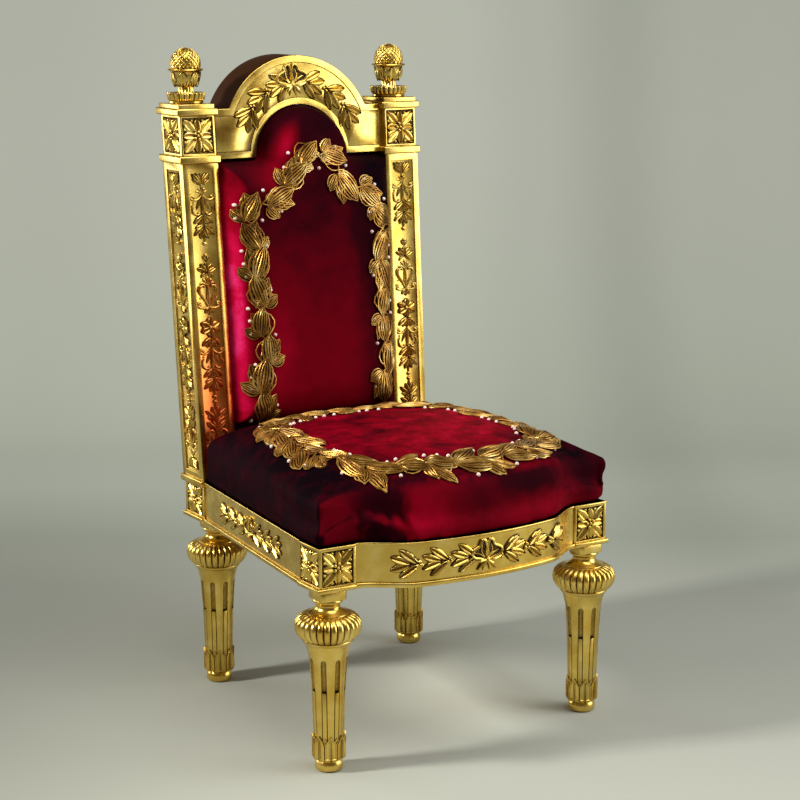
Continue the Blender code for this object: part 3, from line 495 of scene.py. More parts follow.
def pick(rule):
    """Selects what fits rule(middle, way): way is a normal, or the run of an edge."""
    bpy.ops.mesh.select_all(action="DESELECT")
    mesh = bmesh.from_edit_mesh(bpy.context.object.data)
    of_points, of_edges, _ = bpy.context.tool_settings.mesh_select_mode
    if of_points:
        found = [(v, v.co, v.normal) for v in mesh.verts]
    elif of_edges:
        ends = [(e, *[v.co for v in e.verts]) for e in mesh.edges]
        found = [(e, (a + b) / 2, (b - a).normalized()) for e, a, b in ends]
    else:
        found = [(f, f.calc_center_median(), f.normal) for f in mesh.faces]
    for item, middle, way in found:
        if rule(middle, way):
            item.select_set(True)
    mesh.select_flush_mode()
    bmesh.update_edit_mesh(bpy.context.object.data)


def outward():
    """Turns every face of the mesh in hand outwards and goes back to object mode."""
    pick_all()
    bpy.ops.mesh.normals_make_consistent(inside=False)
    bpy.ops.object.mode_set(mode="OBJECT")
    return bpy.context.object


def applied(piece, kind, **settings):
    """Adds one modifier and applies it."""
    choose(piece)
    made = piece.modifiers.new(kind.lower(), kind)
    for name, value in settings.items():
        setattr(made, name, value)
    bpy.ops.object.modifier_apply(modifier=made.name)
    return piece


def waxed_and_shaded(amount):
    """Darkens the faces selected in the mesh in hand: dark wax in carved hollows, and painted shade
    on the crest's outer edge and on the ground under the purl cords.
    """
    mesh = bmesh.from_edit_mesh(bpy.context.object.data)
    layer = mesh.faces.layers.float.get("wax_and_shade") or mesh.faces.layers.float.new("wax_and_shade")
    for face in mesh.faces:
        if face.select:
            face[layer] = amount
    bmesh.update_edit_mesh(bpy.context.object.data)


def waxed_all(piece, amount):
    """Rubs dark wax into every face of a piece."""
    edit(piece, "FACE")
    pick_all()
    waxed_and_shaded(amount)
    return outward()


def softened(piece, width=0.0007, segments=2, angle=35.0):
    """Takes the sharpness off the edges, as sandpaper and gesso do."""
    return applied(piece, "BEVEL", width=width, segments=segments, limit_method="ANGLE",
                   angle_limit=math.radians(angle), harden_normals=False)


# %% Blocks, turnings, outlines and cords


def block(low, high):
    """A cube at its size and place."""
    clear_selection()
    middle = [(a + b) / 2 for a, b in zip(low, high)]
    size = [b - a for a, b in zip(low, high)]
    bpy.ops.mesh.primitive_cube_add(size=1.0, location=middle, scale=size)
    return settled()


def turned(profile, sides):
    """A disc drawn up ring by ring through (radius, height) steps, as on a lathe."""
    clear_selection()
    (radius, base), *steps = profile
    bpy.ops.mesh.primitive_circle_add(vertices=sides, radius=radius, fill_type="NGON",
                                      location=(0.0, 0.0, base))
    piece = settled()
    edit(piece, "FACE")
    pick_all()
    for wider, height in steps:
        pulled(0.0, 0.0, height - base)
        share = wider / radius
        resized((share, share, 1.0), (0.0, 0.0, height))
        radius, base = wider, height
    return outward()


def drawn(points):
    """A flat face, its outline drawn by extruding one point round it and filling it."""
    clear_selection()
    bpy.ops.mesh.primitive_plane_add(size=0.001, location=points[0])
    piece = settled()
    edit(piece)
    pick_all()
    bpy.ops.mesh.merge(type="CENTER")
    pick_all()
    for before, after in zip(points, points[1:]):
        step = Vector(after) - Vector(before)
        pulled(*step)
    pick_all()
    bpy.ops.mesh.edge_face_add()
    bpy.ops.mesh.select_mode(type="FACE")
    pick_all()
    return piece


def cord(points, radii, sides=6, smooth=3, closed=False):
    """A round cord along a path, thick or thin at each point, made a mesh."""
    clear_selection()
    bpy.ops.curve.primitive_bezier_curve_add()
    curve = bpy.context.object
    spline = curve.data.splines[0]
    spline.bezier_points.add(len(points) - 2)
    for point, place, radius in zip(spline.bezier_points, points, radii):
        point.co = place
        point.radius = radius
        point.handle_left_type = point.handle_right_type = "AUTO"
    spline.use_cyclic_u = closed
    spline.resolution_u = smooth
    curve.data.bevel_depth = 1.0
    curve.data.bevel_resolution = sides // 2 - 2
    curve.data.use_fill_caps = not closed
    bpy.ops.object.convert(target="MESH")
    piece = settled()
    edit(piece)
    pick_all()
    bpy.ops.mesh.remove_doubles(threshold=0.00001)
    return outward()


# %% Copies, joins and the last touches


def copied(piece, *places):
    """A copy with its own mesh for each place. A mirrored one is turned outside again."""
    made = []
    for place in places:
        copy = piece.copy()
        copy.data = piece.data.copy()
        copy.data.transform(place)
        if place.determinant() < 0:
            copy.data.flip_normals()
        bpy.context.scene.collection.objects.link(copy)
        made.append(copy)
    return made


def joined(pieces):
    choose(pieces[0])
    for piece in pieces:
        piece.select_set(True)
    bpy.ops.object.join()
    return bpy.context.object


def put_away(*pieces):
    for piece in pieces:
        bpy.data.objects.remove(piece)


def dressed(piece, name, finish, angle=40.0):
    """Names a finished piece, shades it, and gives it its finish."""
    choose(piece)
    bpy.ops.object.shade_smooth_by_angle(angle=math.radians(angle))
    piece.name = piece.data.name = name
    piece.data.materials.clear()
    piece.data.materials.append(finish)
    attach(piece, "root")
    print(name, "has", sum(len(face.vertices) - 2 for face in piece.data.polygons), "triangles")
    return piece


MIRROR = Matrix.Scale(-1.0, 4, (1.0, 0.0, 0.0))
SHEAR = Matrix.Identity(4)
SHEAR[1][2] = RAKE
LEAN = Matrix.Translation((0, 0, POST_BASE)) @ SHEAR @ Matrix.Translation((0, 0, -POST_BASE))
SHEAR[0][2] = SPLAY
POST_LEAN = Matrix.Translation((0, 0, POST_BASE)) @ SHEAR @ Matrix.Translation((0, 0, -POST_BASE))


def ground(origin, across, upward=(0.0, 0.0, 1.0)):
    """The plane of a face: x runs across it, y up it and z out of it."""
    u, v = Vector(across).normalized(), Vector(upward).normalized()
    return Matrix.Translation(origin) @ Matrix((u, v, u.cross(v))).transposed().to_4x4()


def lay(u, v, turn=0.0, size=(1.0, 1.0, 1.0)):
    """Where a motif lies on a face: its place, its turn in degrees and its size."""
    spin = Matrix.Rotation(math.radians(turn), 4, "Z")
    return Matrix.Translation((u, v, 0.0)) @ spin @ Matrix.Diagonal((*size, 1.0))


def around(count, radius=0.0, height=0.0, start=0.0):
    """Places round an upright axis, each facing outwards."""
    out = Matrix.Translation((radius, 0.0, height))
    turns = [2 * math.pi * k / count + start for k in range(count)]
    return [Matrix.Rotation(turn, 4, "Z") @ out for turn in turns]


# %% [markdown]
# ## Carved motifs
# The carver repeats a few shapes: a laurel leaf with a raised rim and a cut centre
# vein, a round berry, a ribbon bow and a palmette. Each is modelled once,
# lying flat with its foot just below the ground, and then copied.

# %% The leaf
LEAF_STATIONS, LEAF_COLUMNS = 10, 8


def carved_leaf(length=1.0, width=1.0, height=1.0):
    """A leaf one unit long, wide and high: rim, two hollow halves and a vein."""
    clear_selection()
    bpy.ops.mesh.primitive_grid_add(x_subdivisions=LEAF_STATIONS, y_subdivisions=LEAF_COLUMNS,
                                    size=1.0, location=(0.5, 0.0, 0.0))
    piece = settled()
    edit(piece)
    for column, rise in enumerate((0.34, 0.72, 0.86, 0.62)):
        here = (4 - column) / 8 if column < 3 else 0.125
        pick(lambda middle, way: abs(abs(middle.y) - here) < 0.02)
        shifted(0.0, 0.0, rise)
    pick(lambda middle, way: abs(middle.y) < 0.02)
    shifted(0.0, 0.0, 0.22)
    for station in range(LEAF_STATIONS + 1):
        along = station / LEAF_STATIONS
        wide = max(0.03, math.sin(math.pi * min(1.0, along**1.15)) ** 0.60)
        tall = 0.35 + 0.65 * math.sin(math.pi * min(1.0, along * 0.9 + 0.08)) ** 0.6
        pick(lambda middle, way: abs(middle.x - along) < 0.01)
        resized((1.0, wide, tall), (along, 0.0, 0.0))
        if station % 2 and 0 < station < LEAF_STATIONS:
            pick(lambda middle, way: abs(middle.x - along) < 0.01 and
                 0.08 * wide < abs(middle.y) < 0.30 * wide)
            shifted(0.0, 0.0, -0.08)
    pick_all()
    pulled(0.0, 0.0, -0.2)
    resized((1.0, 1.0, 0.0), (0.0, 0.0, -0.18))
    outward()
    edit(piece, "FACE")
    pick(lambda middle, way: abs(way.z) < 0.25)
    waxed_and_shaded(0.55)
    piece = outward()
    piece.data.transform(Matrix.Diagonal((length, width, height, 1.0)))
    return piece


leaf = carved_leaf()
print("one leaf has", len(leaf.data.polygons), "faces")

# %% Berry, palmette and bow


def carved_berry():
    """A bead of one unit's radius, cut off just below the ground."""
    clear_selection()
    bpy.ops.mesh.primitive_uv_sphere_add(segments=12, ring_count=8, radius=1.0)
    piece = settled()
    edit(piece)
    pick_all()
    bpy.ops.mesh.bisect(plane_co=(0.0, 0.0, -0.4), plane_no=(0.0, 0.0, -1.0), use_fill=True,
                        clear_outer=True)
    return outward()


def carved_palmette(fingers=5):
    """Fingers that fan from one foot and swell towards their ends, one unit tall."""
    made = []
    for k in range(fingers):
        share = (k - (fingers - 1) / 2) / ((fingers - 1) / 2)
        bend = math.radians(58) * share
        tall = 1.0 - 0.18 * abs(share)
        way = Vector((math.sin(bend), math.cos(bend), 0.0)) * tall
        hook = Vector((0.16 * share, -0.12 * abs(share), 0.0))
        path = [Vector((0.0, 0.0, 0.0)), way * 0.5 + Vector((0, 0.06, 0.05)), way * 0.86, way + hook]
        made.append(cord(path, (0.06, 0.10, 0.16, 0.08), 8, 2))
    return joined(made)


def carved_bow():
    """A ribbon bow: two wide loops with dark hollows, ribbons with beads, and two tails."""
    outline = [(0.07, 0.04, 0), (0.07, 0.86, 0), (0.18, 1.04, 0), (0.36, 1.00, 0), (0.50, 0.74, 0),
               (0.78, 0.62, 0), (0.99, 0.46, 0), (0.94, 0.26, 0), (0.50, 0.10, 0)]
    hollow = drawn(outline)
    pulled(0.0, 0.0, 0.05)
    waxed_and_shaded(0.55)
    hollow = outward()
    rim = cord([(x, y, 0.09) for x, y, _ in outline], [0.078] * len(outline), 8, 3, True)
    folds = [cord(path, (0.05, 0.04, 0.02), 6, 3) for path in (
        [(0.12, 0.12, 0.04), (0.36, 0.44, 0.07), (0.30, 0.80, 0.03)],
        [(0.16, 0.12, 0.04), (0.50, 0.34, 0.07), (0.80, 0.42, 0.03)],
    )]
    ribbons = [
        cord([(0, 0, 0.10), (0.30, -0.20, 0.12), (0.62, -0.50, 0.05)], (0.06, 0.10, 0.05), 8, 3),
        cord([(0, 0, 0.10), (0.50, -0.02, 0.12), (0.95, 0.06, 0.05)], (0.06, 0.10, 0.06), 8, 3),
        cord([(0, 0, 0.06), (0.14, -0.25, 0.08), (0.22, -0.55, 0.02)], (0.05, 0.08, 0.04), 8, 3),
    ]
    ends = copied(berry, lay(1.04, 0.14, 0, (0.085,) * 3), lay(1.04, -0.04, 0, (0.085,) * 3))
    half = joined([hollow, rim, *folds, *ribbons, *ends])
    other = copied(half, MIRROR)[0]
    tie = copied(berry, lay(0.0, 0.01, 0, (0.13, 0.12, 0.24)))[0]
    return joined([half, other, tie])


berry = carved_berry()
palmette = carved_palmette()
bow_knot = carved_bow()
print("motifs:", [len(piece.data.polygons) for piece in (berry, palmette, bow_knot)])

# %% Strands, fans and garlands


def strand(face, points, thick):
    """A carved stem along (u, v) millimetres of a face, thickest in its middle."""
    last = len(points) - 1
    radii = [thick / 1000 * (0.80 + 0.52 * math.sin(math.pi * k / last)) for k in range(last + 1)]
    piece = cord([(u / 1000, v / 1000, thick / 2000) for u, v in points], radii, 8, 3)
    piece.data.transform(face)
    return [piece]


def pointed(face, start, stop, width, height=4.6):
    """One leaf from a foot to a tip, both in millimetres."""
    (u, v), (x, y) = start, stop
    tall = min(1.12 * height, 0.46 * width)
    size = (math.hypot(x - u, y - v) / 1000, 1.08 * width / 1000, tall / 1000)
    turn = math.degrees(math.atan2(y - v, x - u))
    return copied(leaf, face @ lay(u / 1000, v / 1000, turn, size))


def bead(face, u, v, radius, lift=1.0):
    """One berry, its place and its radius in millimetres."""
    size = (radius / 1000, radius / 1000, radius * lift / 1000)
    return copied(berry, face @ lay(u / 1000, v / 1000, 0, size))


def both(face, shape, *points, **more):
    """A shape and its mirror image about the upright middle of a face."""
    flipped = [[(-u, v) for u, v in points]]
    return [piece for side in (points, *flipped) for piece in shape(face, *side, **more)]


def garland(face, way, length, width, berries=True):
    """One spray of laurel: two pairs of leaves, a short end leaf and a cluster of berries."""
    run = length / 50.0
    made = []
    for foot, tip, out, wide in ((1, 33, 25, 14.0), (13, 47, 12, 13.5)):
        for side in (-1, 1):
            made += pointed(face, (way * foot * run, 0.0), (way * tip * run, side * out * width),
                            wide * width, 5.8 if foot < 9 else 5.0)
    made += pointed(face, (way * 4 * run, 0.0), (way * 34 * run, 0.0), 7.0 * width, 6.4)
    if berries:
        for u, v in ((0.0, 3.9), (-3.4, -1.8), (3.7, -2.6)):
            made += bead(face, way * u, v, 3.9, 1.3)
    return made


# %% [markdown]
# ## The leg
# A leg is turned in one piece and then carved: a bun foot, a collar of pointed leaves,
# a tapered shaft with eight flutes that are filled by reeds in their lower half, a
# gadrooned bulb of twenty-eight lobes, and a polished neck under a square abacus.

# %% Bulb with its lobes
LOBES, LOBE_STEPS = 28, 8
BULB = [(0.0440, 0.2350), (0.0478, 0.2372), (0.0512, 0.2405), (0.0545, 0.2455), (0.0567, 0.2515),
        (0.0575, 0.2580), (0.0566, 0.2640), (0.0538, 0.2695), (0.0495, 0.2738), (0.0440, 0.2768),
        (0.0385, 0.2782), (0.0340, 0.2784), (0.0200, 0.2786)]


def carved_bulb():
    """The turned bulb, with a valley pressed in between its lobes."""
    bulb = turned(BULB, LOBES * LOBE_STEPS)
    edit(bulb)
    step = 2 * math.pi / LOBES
    for phase in range(LOBE_STEPS // 2):
        off = 1.0 - 2.0 * phase / LOBE_STEPS
        depth = 0.105 * (1.0 - math.sqrt(1.0 - off**2 * 0.999))

        def in_phase(middle, way):
            turn = math.atan2(middle.y, middle.x) / step
            near = abs(turn - round(turn)) * 2
            return abs(near - (1.0 - off)) < 0.02 and middle.xy.length > 0.030

        pick(in_phase)
        share = 1.0 - depth
        resized((share, share, 1.0), (0.0, 0.0, 0.258))
    return outward()


# %% Shaft, flutes and reeds
SHAFT = [(0.0258, 0.0450), (0.0265, 0.0660), (0.0290, 0.1440), (0.0310, 0.1750), (0.0330, 0.2030),
         (0.0350, 0.2120), (0.0375, 0.2220), (0.0400, 0.2285), (0.0424, 0.2298), (0.0436, 0.2315),
         (0.0438, 0.2335), (0.0428, 0.2358), (0.0400, 0.2380)]


def leaning(degrees, height):
    """A small tilt outwards about a height."""
    spin = Matrix.Rotation(math.radians(degrees), 4, "Y")
    return Matrix.Translation((0, 0, height)) @ spin @ Matrix.Translation((0, 0, -height))


def carved_shaft():
    """The tapered shaft: low flutes filled by reeds, and open flutes above them."""
    shaft = turned(SHAFT, 96)
    deep = Matrix.Diagonal((1.20, 1.0, 1.0, 1.0))
    low = turned([(0.0050, 0.0480), (0.0050, 0.1450)], 16)
    high = turned([(0.0050, 0.1435), (0.0050, 0.1982), (0.0042, 0.2010), (0.0026, 0.2028),
                   (0.0006, 0.2034)], 16)
    for cutter in (low, high):
        waxed_all(cutter, 0.30)
    cutters = [copied(low, *[p @ leaning(1.85, 0.045) @ deep for p in around(8, 0.0256)]),
               copied(high, *[p @ leaning(3.9, 0.144) @ deep for p in around(8, 0.0290)])]
    for group in cutters:
        cutter = joined(group)
        applied(shaft, "BOOLEAN", operation="DIFFERENCE", object=cutter, solver="EXACT")
        put_away(cutter)
    put_away(low, high)
    reed = block((-0.0070, -0.0037, 0.0480), (0.0001, 0.0037, 0.1442))
    softened(reed, 0.0007, 2)
    reeds = copied(reed, *[p @ leaning(1.85, 0.045) for p in around(8, 0.0258)])
    put_away(reed)
    return [softened(shaft, 0.0004, 1, 40), *reeds]


# %% Lancet leaves of the collar


def lancet():
    """A flat upright leaf with straight sides, a pointed top, a rim and a centre line."""
    half, straight, tall = 0.0104, 0.0230, 0.0420
    arch = [(half * (1 - t**1.7), straight + (tall - straight) * t) for t in (0.25, 0.5, 0.72, 0.88)]
    side = [(half, 0.0), (half, straight), *arch, (0.0, tall)]
    outline = side + [(-u, v) for u, v in side[-2::-1]]
    piece = drawn([(0.0, u, v) for u, v in outline])
    bpy.ops.mesh.normals_make_consistent(inside=False)
    pulled(0.0032, 0.0, 0.0)
    bpy.ops.mesh.inset(thickness=0.0016, use_even_offset=True)
    bpy.ops.mesh.inset(thickness=0.0009, use_even_offset=True)
    shifted(-0.0014, 0.0, 0.0)
    piece = outward()
    rib = block((0.0010, -0.0016, 0.0010), (0.0030, 0.0016, 0.0345))
    groove = block((0.0026, -0.0006, 0.0), (0.0040, 0.0006, 0.0335))
    waxed_all(groove, 0.9)
    applied(rib, "BOOLEAN", operation="DIFFERENCE", object=groove, solver="EXACT")
    put_away(groove)
    piece = joined([piece, rib])
    for vertex in piece.data.vertices:
        vertex.co.x -= vertex.co.y**2 / (2 * 0.0275)
    return piece


# %% Foot, neck and abacus


def whole_leg():
    """The parts of one leg, standing on the origin."""
    foot = turned([(0.0170, 0.0), (0.0215, 0.0010), (0.0240, 0.0040), (0.0246, 0.0090),
                   (0.0240, 0.0150), (0.0215, 0.0195), (0.0205, 0.0205), (0.0212, 0.0222),
                   (0.0240, 0.0238), (0.0252, 0.0250), (0.0256, 0.0460), (0.0240, 0.0470)], 48)
    sheath = lancet()
    over = Matrix.Translation((0, 0, 0.0240))
    under = Matrix.Translation((-0.0012, 0, 0.0215)) @ Matrix.Diagonal((1, 0.8, 1, 1))
    collar = copied(sheath, *[p @ over for p in around(8, 0.0262, 0.0, math.pi / 8)],
                    *[p @ under for p in around(8, 0.0262)])
    put_away(sheath)
    neck = turned([(0.0350, 0.2778), (0.0345, 0.2800), (0.0310, 0.2818), (0.0270, 0.2836),
                   (0.0245, 0.2855), (0.0215, 0.2890), (0.0205, 0.2925), (0.0210, 0.2960),
                   (0.0232, 0.2980), (0.0258, 0.2992), (0.0264, 0.3010), (0.0262, 0.3030),
                   (0.0250, 0.3045), (0.0200, 0.3050)], 48)
    abacus = block((-0.0255, -0.0255, 0.3040), (0.0255, 0.0255, RAIL_BASE - FIT))
    edit(abacus, "EDGE")
    pick(lambda middle, way: abs(way.z) > 0.9)
    bpy.ops.mesh.bevel(offset=0.006, segments=1, affect="EDGES")
    abacus = softened(outward(), 0.0009)
    return joined([foot, *collar, *carved_shaft(), carved_bulb(), neck, abacus])


leg = whole_leg()
print("one leg has", len(leg.data.polygons), "faces")

# %% [markdown]
# ## Corner blocks and rosette tiles
# A block is planed square, its lower edge has a rounded moulding and its top a thin
# lip. A square is sunk into each outer face, and a rosette of eight grooved petals
# fills it, with a cluster of beads in the middle and one bead in each gap.

# %% Sinking a panel


def sunk(piece, facing, size, depth, middle, wax_and_shade=0.0):
    """Insets the face that looks one way to a set size about a middle, and sinks it."""
    edit(piece, "FACE")
    facing = Vector(facing)
    pick(lambda centre, way: way.dot(facing) > 0.9 and (centre - Vector(middle)).dot(facing) > -0.001)
    bpy.ops.mesh.inset(thickness=0.002, use_even_offset=True)
    mesh = bmesh.from_edit_mesh(piece.data)
    held = [v.co.copy() for v in mesh.verts if v.select]
    low = Vector([min(p[k] for p in held) for k in range(3)])
    high = Vector([max(p[k] for p in held) for k in range(3)])
    centre = (low + high) / 2
    share = [s / max(h - l, 1e-6) if s else 1.0 for s, l, h in zip(size, low, high)]
    resized(share, centre)
    shift = [m - c if s else 0.0 for m, c, s in zip(middle, centre, size)]
    shifted(*shift)
    pulled(*(-facing * depth))
    waxed_and_shaded(wax_and_shade)
    return outward()


def rosette_tile(face, wide, tall):
    """Eight broad petals, the corner ones longer, with beads at the eye and in the gaps."""
    made = []
    for k in range(8):
        corner = k % 2
        reach = math.hypot(wide, tall) * 0.470 if corner else (wide if k % 4 == 0 else tall) * 0.480
        size = (reach, 0.0205 if corner else 0.0185, 0.0056)
        made += copied(leaf, face @ lay(0.0, 0.0, 45.0 * k, size))
        turn = math.radians(45.0 * k + 22.5)
        across, up = math.cos(turn) * wide * 0.450, math.sin(turn) * tall * 0.450
        made += copied(berry, face @ lay(across, up, 0, (0.0031, 0.0031, 0.0040)))
    lift = face @ Matrix.Translation((0.0, 0.0, 0.0030))
    turns = (0.6, 1.86, 3.11, 4.37, 5.62)
    eye = [(0.0, 0.0), *[(0.0070 * math.cos(a), 0.0070 * math.sin(a)) for a in turns]]
    return made + copied(berry, *[lift @ lay(u, v, 0, (0.0034, 0.0034, 0.0038)) for u, v in eye])


# %% Front legs with their blocks
TILE, TILE_SUNK, TILE_WAX = 0.061, 0.003, 0.45
MOULDING_ROUND, LIP_ROUND = 0.0024, 0.0014


def banded(low, high, out, base, top, width=MOULDING_ROUND, sides=(1, 1, 1, 1)):
    """A moulding round a plan: how far out it stands on the left, right, front and rear."""
    piece = block((low[0] - out * sides[0], low[1] - out * sides[2], base),
                  (high[0] + out * sides[1], high[1] + out * sides[3], top))
    return softened(piece, width, 3)


def banded_pair(low, high, sides):
    """The rounded moulding at the foot of a rail or block and the lip at its top."""
    return [banded(low, high, MOULDING_OUT, RAIL_BASE, MOULDING_TOP, MOULDING_ROUND, sides),
            banded(low, high, LIP_OUT, LIP_BASE, RAIL_TOP, LIP_ROUND, sides)]


def front_block():
    """A front leg with its corner block, on the right."""
    inner = SEAT_HALF - BLOCK
    low, high = (inner, FACE, RAIL_BASE), (SEAT_HALF, FACE + BLOCK, RAIL_TOP)
    body = block(low, high)
    front = (inner + BLOCK / 2, FACE, FIELD_MIDDLE)
    side = (SEAT_HALF, FACE + BLOCK / 2, FIELD_MIDDLE)
    sunk(body, (0, -1, 0), (TILE, 0, TILE), TILE_SUNK, front, TILE_WAX)
    sunk(body, (1, 0, 0), (0, TILE, TILE), TILE_SUNK, side, TILE_WAX)
    softened(body, 0.0005)
    bands = banded_pair(low, high, (0, 1, 1, 0))
    grounds = (ground((front[0], FACE + TILE_SUNK, FIELD_MIDDLE), (1, 0, 0)),
               ground((SEAT_HALF - TILE_SUNK, side[1], FIELD_MIDDLE), (0, 1, 0)))
    carving = [motif for face in grounds for motif in rosette_tile(face, TILE, TILE)]
    return joined([body, *bands, *carving, *copied(leg, Matrix.Translation((*FRONT_LEG, 0.0)))])


def both_hands(piece, name):
    """Dresses a right-hand piece and its mirrored twin, which stand for their solids."""
    twin = copied(piece, MIRROR)[0]
    for hand, one in (("right", piece), ("left", twin)):
        dressed(one, f"{name}_{hand}_carved", gold)
        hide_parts(f"{name}_{hand}")


both_hands(front_block(), "front_leg")

# %% [markdown]
# ## The seat rails
# The front rail swells forward in a bow with ogee returns at the blocks. It starts as
# a straight moulded stick: each of its stations is then pushed out to the line of the
# bow. A laurel garland runs out both ways from a ribbon bow.

# %% The line of the bow
BOW, SHOULDER, SHOULDER_OUT = 0.0627, 0.140, 0.048
RAIL_STICKS = (
    (0.0, RAIL_BASE, RAIL_TOP, 0.0),
    (MOULDING_OUT, RAIL_BASE, MOULDING_TOP, MOULDING_ROUND),
    (LIP_OUT, LIP_BASE, RAIL_TOP, LIP_ROUND),
)
HOLLOW_HALF, HOLLOW_RUN, HOLLOW_DEPTH = 0.200, 0.065, 0.040


def bow(x):
    """Where the front rail's face stands at x."""
    x, sag = abs(x), BOW - SHOULDER_OUT
    radius = (SHOULDER**2 + sag**2) / (2 * sag)
    if x <= SHOULDER:
        return FACE - BOW + radius - math.sqrt(radius**2 - x**2)
    run = SEAT_HALF - BLOCK - SHOULDER
    t = (x - SHOULDER) / run
    return (FACE - SHOULDER_OUT * (1 - 3 * t**2 + 2 * t**3) + RAIL_BACK * (3 * t**2 - 2 * t**3)
            + SHOULDER / radius * run * (t - 2 * t**2 + t**3) + 0.10 * run * (t**3 - t**2))


def bowed(piece, cuts=44):
    """Cuts a straight stick across and pushes the front of each station out to the bow."""
    edit(piece, "EDGE")
    pick(lambda middle, way: abs(way.x) > 0.99)
    bpy.ops.mesh.subdivide(number_cuts=cuts)
    bpy.ops.mesh.select_mode(type="VERT")
    mesh = bmesh.from_edit_mesh(piece.data)
    for x in sorted({round(v.co.x, 5) for v in mesh.verts}):
        pick(lambda middle, way: abs(middle.x - x) < 0.0001 and middle.y < FACE + 0.02)
        shifted(0.0, bow(x) - FACE, 0.0)
        if abs(x) < HOLLOW_HALF:
            share = min(1.0, (HOLLOW_HALF - abs(x)) / HOLLOW_RUN)
            pick(lambda middle, way: abs(middle.x - x) < 0.0001 and middle.y > FACE + 0.02)
            shifted(0.0, -HOLLOW_DEPTH * share, 0.0)
    return outward()


def front_rail():
    """Three bowed sticks, a bow knot and three sprays of laurel on each side."""
    end = SEAT_HALF - BLOCK - FIT
    rear = FACE + RAIL_BACK + RAIL_DEPTH
    made = []
    for out, base, top, round_off in RAIL_STICKS:
        stick = block((-end, FACE - out, base), (end, rear, top))
        if round_off:
            edit(stick, "EDGE")
            pick(lambda middle, way: abs(way.x) > 0.9 and middle.y < FACE + 0.01)
            bpy.ops.mesh.bevel(offset=round_off, segments=4, affect="EDGES")
            outward()
        made.append(bowed(stick))

    def tangent(x):
        slope = bow(x + 0.001) - bow(x - 0.001)
        return ground((x, bow(x), FIELD_MIDDLE), (0.002, slope, 0.0))

    made += copied(bow_knot, tangent(0.0) @ lay(-0.007, -0.009, 0, (0.031, 0.034, 0.030)))
    for side in (-1, 1):
        for x in (0.027, 0.080, 0.133):
            bend = tangent(side * (x + 0.024)) @ Matrix.Translation((-side * 0.024, 0.0, 0.0))
            made += garland(bend, side, 54.0, 0.98, x > 0.03)
    return joined(made)


rail = dressed(front_rail(), "front_rail_carved", gold)
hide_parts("front_rail")

# %% Side rails and rear rail


def side_line(y):
    """The outer face of the side rail at a depth y behind the block faces."""
    share = (y - BLOCK) / (BACK_FACE - FACE - BLOCK)
    return (SEAT_HALF - RAIL_BACK) * (1 - share) + (BACK_HALF - RAIL_BACK) * share


def slanted(low_out, base, top, round_off):
    """One stick of the side rail, its front and rear ends on the slanted line."""
    near, far = BLOCK + FIT, BACK_FACE - FACE - FIT
    corners = [(side_line(near) + low_out, near), (side_line(far) + low_out, far),
               (side_line(far) - RAIL_DEPTH, far), (side_line(near) - RAIL_DEPTH, near)]
    stick = drawn([(x, FACE + y, base) for x, y in corners])
    pulled(0.0, 0.0, top - base)
    stick = outward()
    if round_off:
        edit(stick, "EDGE")
        pick(lambda middle, way: abs(way.y) > 0.9
             and middle.x > side_line(middle.y - FACE) - 0.004)
        bpy.ops.mesh.bevel(offset=round_off, segments=4, affect="EDGES")
        outward()
    return stick


def side_rail():
    """Three slanted sticks, a bow knot and three sprays of laurel on each side."""
    made = [slanted(*stick) for stick in RAIL_STICKS]
    centre = 0.2925
    face = ground((side_line(centre), FACE + centre, FIELD_MIDDLE),
                  (side_line(centre + 0.1) - side_line(centre - 0.1), 0.2, 0.0))
    made += copied(bow_knot, face @ lay(0.0, -0.006, 0, (0.021, 0.027, 0.024)))
    for side in (-1, 1):
        for u in (0.020, 0.062, 0.104):
            spot = face @ Matrix.Translation((side * u, 0.0, 0.0))
            made += garland(spot, side, 43.0, 0.82, u > 0.03)
    return joined(made)


def rear_rail():
    end = BACK_HALF - POST_WIDTH - FIT
    rear = BACK_FACE + REAR_BLOCK - RAIL_BACK
    low, high = (-end, rear - RAIL_DEPTH, RAIL_BASE), (end, rear, RAIL_TOP)
    return joined([softened(block(low, high), 0.0006), *banded_pair(low, high, (0, 0, 0, 1))])


both_hands(side_rail(), "side_rail")
rail = dressed(rear_rail(), "rear_rail_plain", gold)
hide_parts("rear_rail")

# %% [markdown]
# ## The back posts
# Each post is one stick: the rear leg and its block stand upright, and above them the
# stile leans back and a little outward. A long panel is sunk into the front and outer
# faces, and three hanging ornaments of scrolls, palmettes and leaves fill it.

# %% Ornaments of the panels
PANEL_MIDDLE, PANEL_TALL = 0.6940, 0.565
REAR_TILE = 0.053
HEAD_TILE, ORNAMENT_GROW = (0.063, 0.066), (1.12, 1.0, 1.15)


def strands(face, thick, at, *points):
    """A stem and its mirror image, through (u, d) points hung on a line of heights."""
    return both(face, lambda face, *path: strand(face, path, thick),
                *[(u, at(d)) for u, d in points])


def stem(face, at, *heights):
    """The straight stem up the middle of a panel."""
    return strand(face, [(0, at(d)) for d in heights], 2.2)


def leaf_pairs(face, at, side, *leaves):
    """Leaves on one side, each from a foot to a tip and so wide."""
    return [piece for (x, d), (tip_x, tip_d), wide in leaves
            for piece in pointed(face, (side * x, at(d)), (side * tip_x, at(tip_d)), wide)]


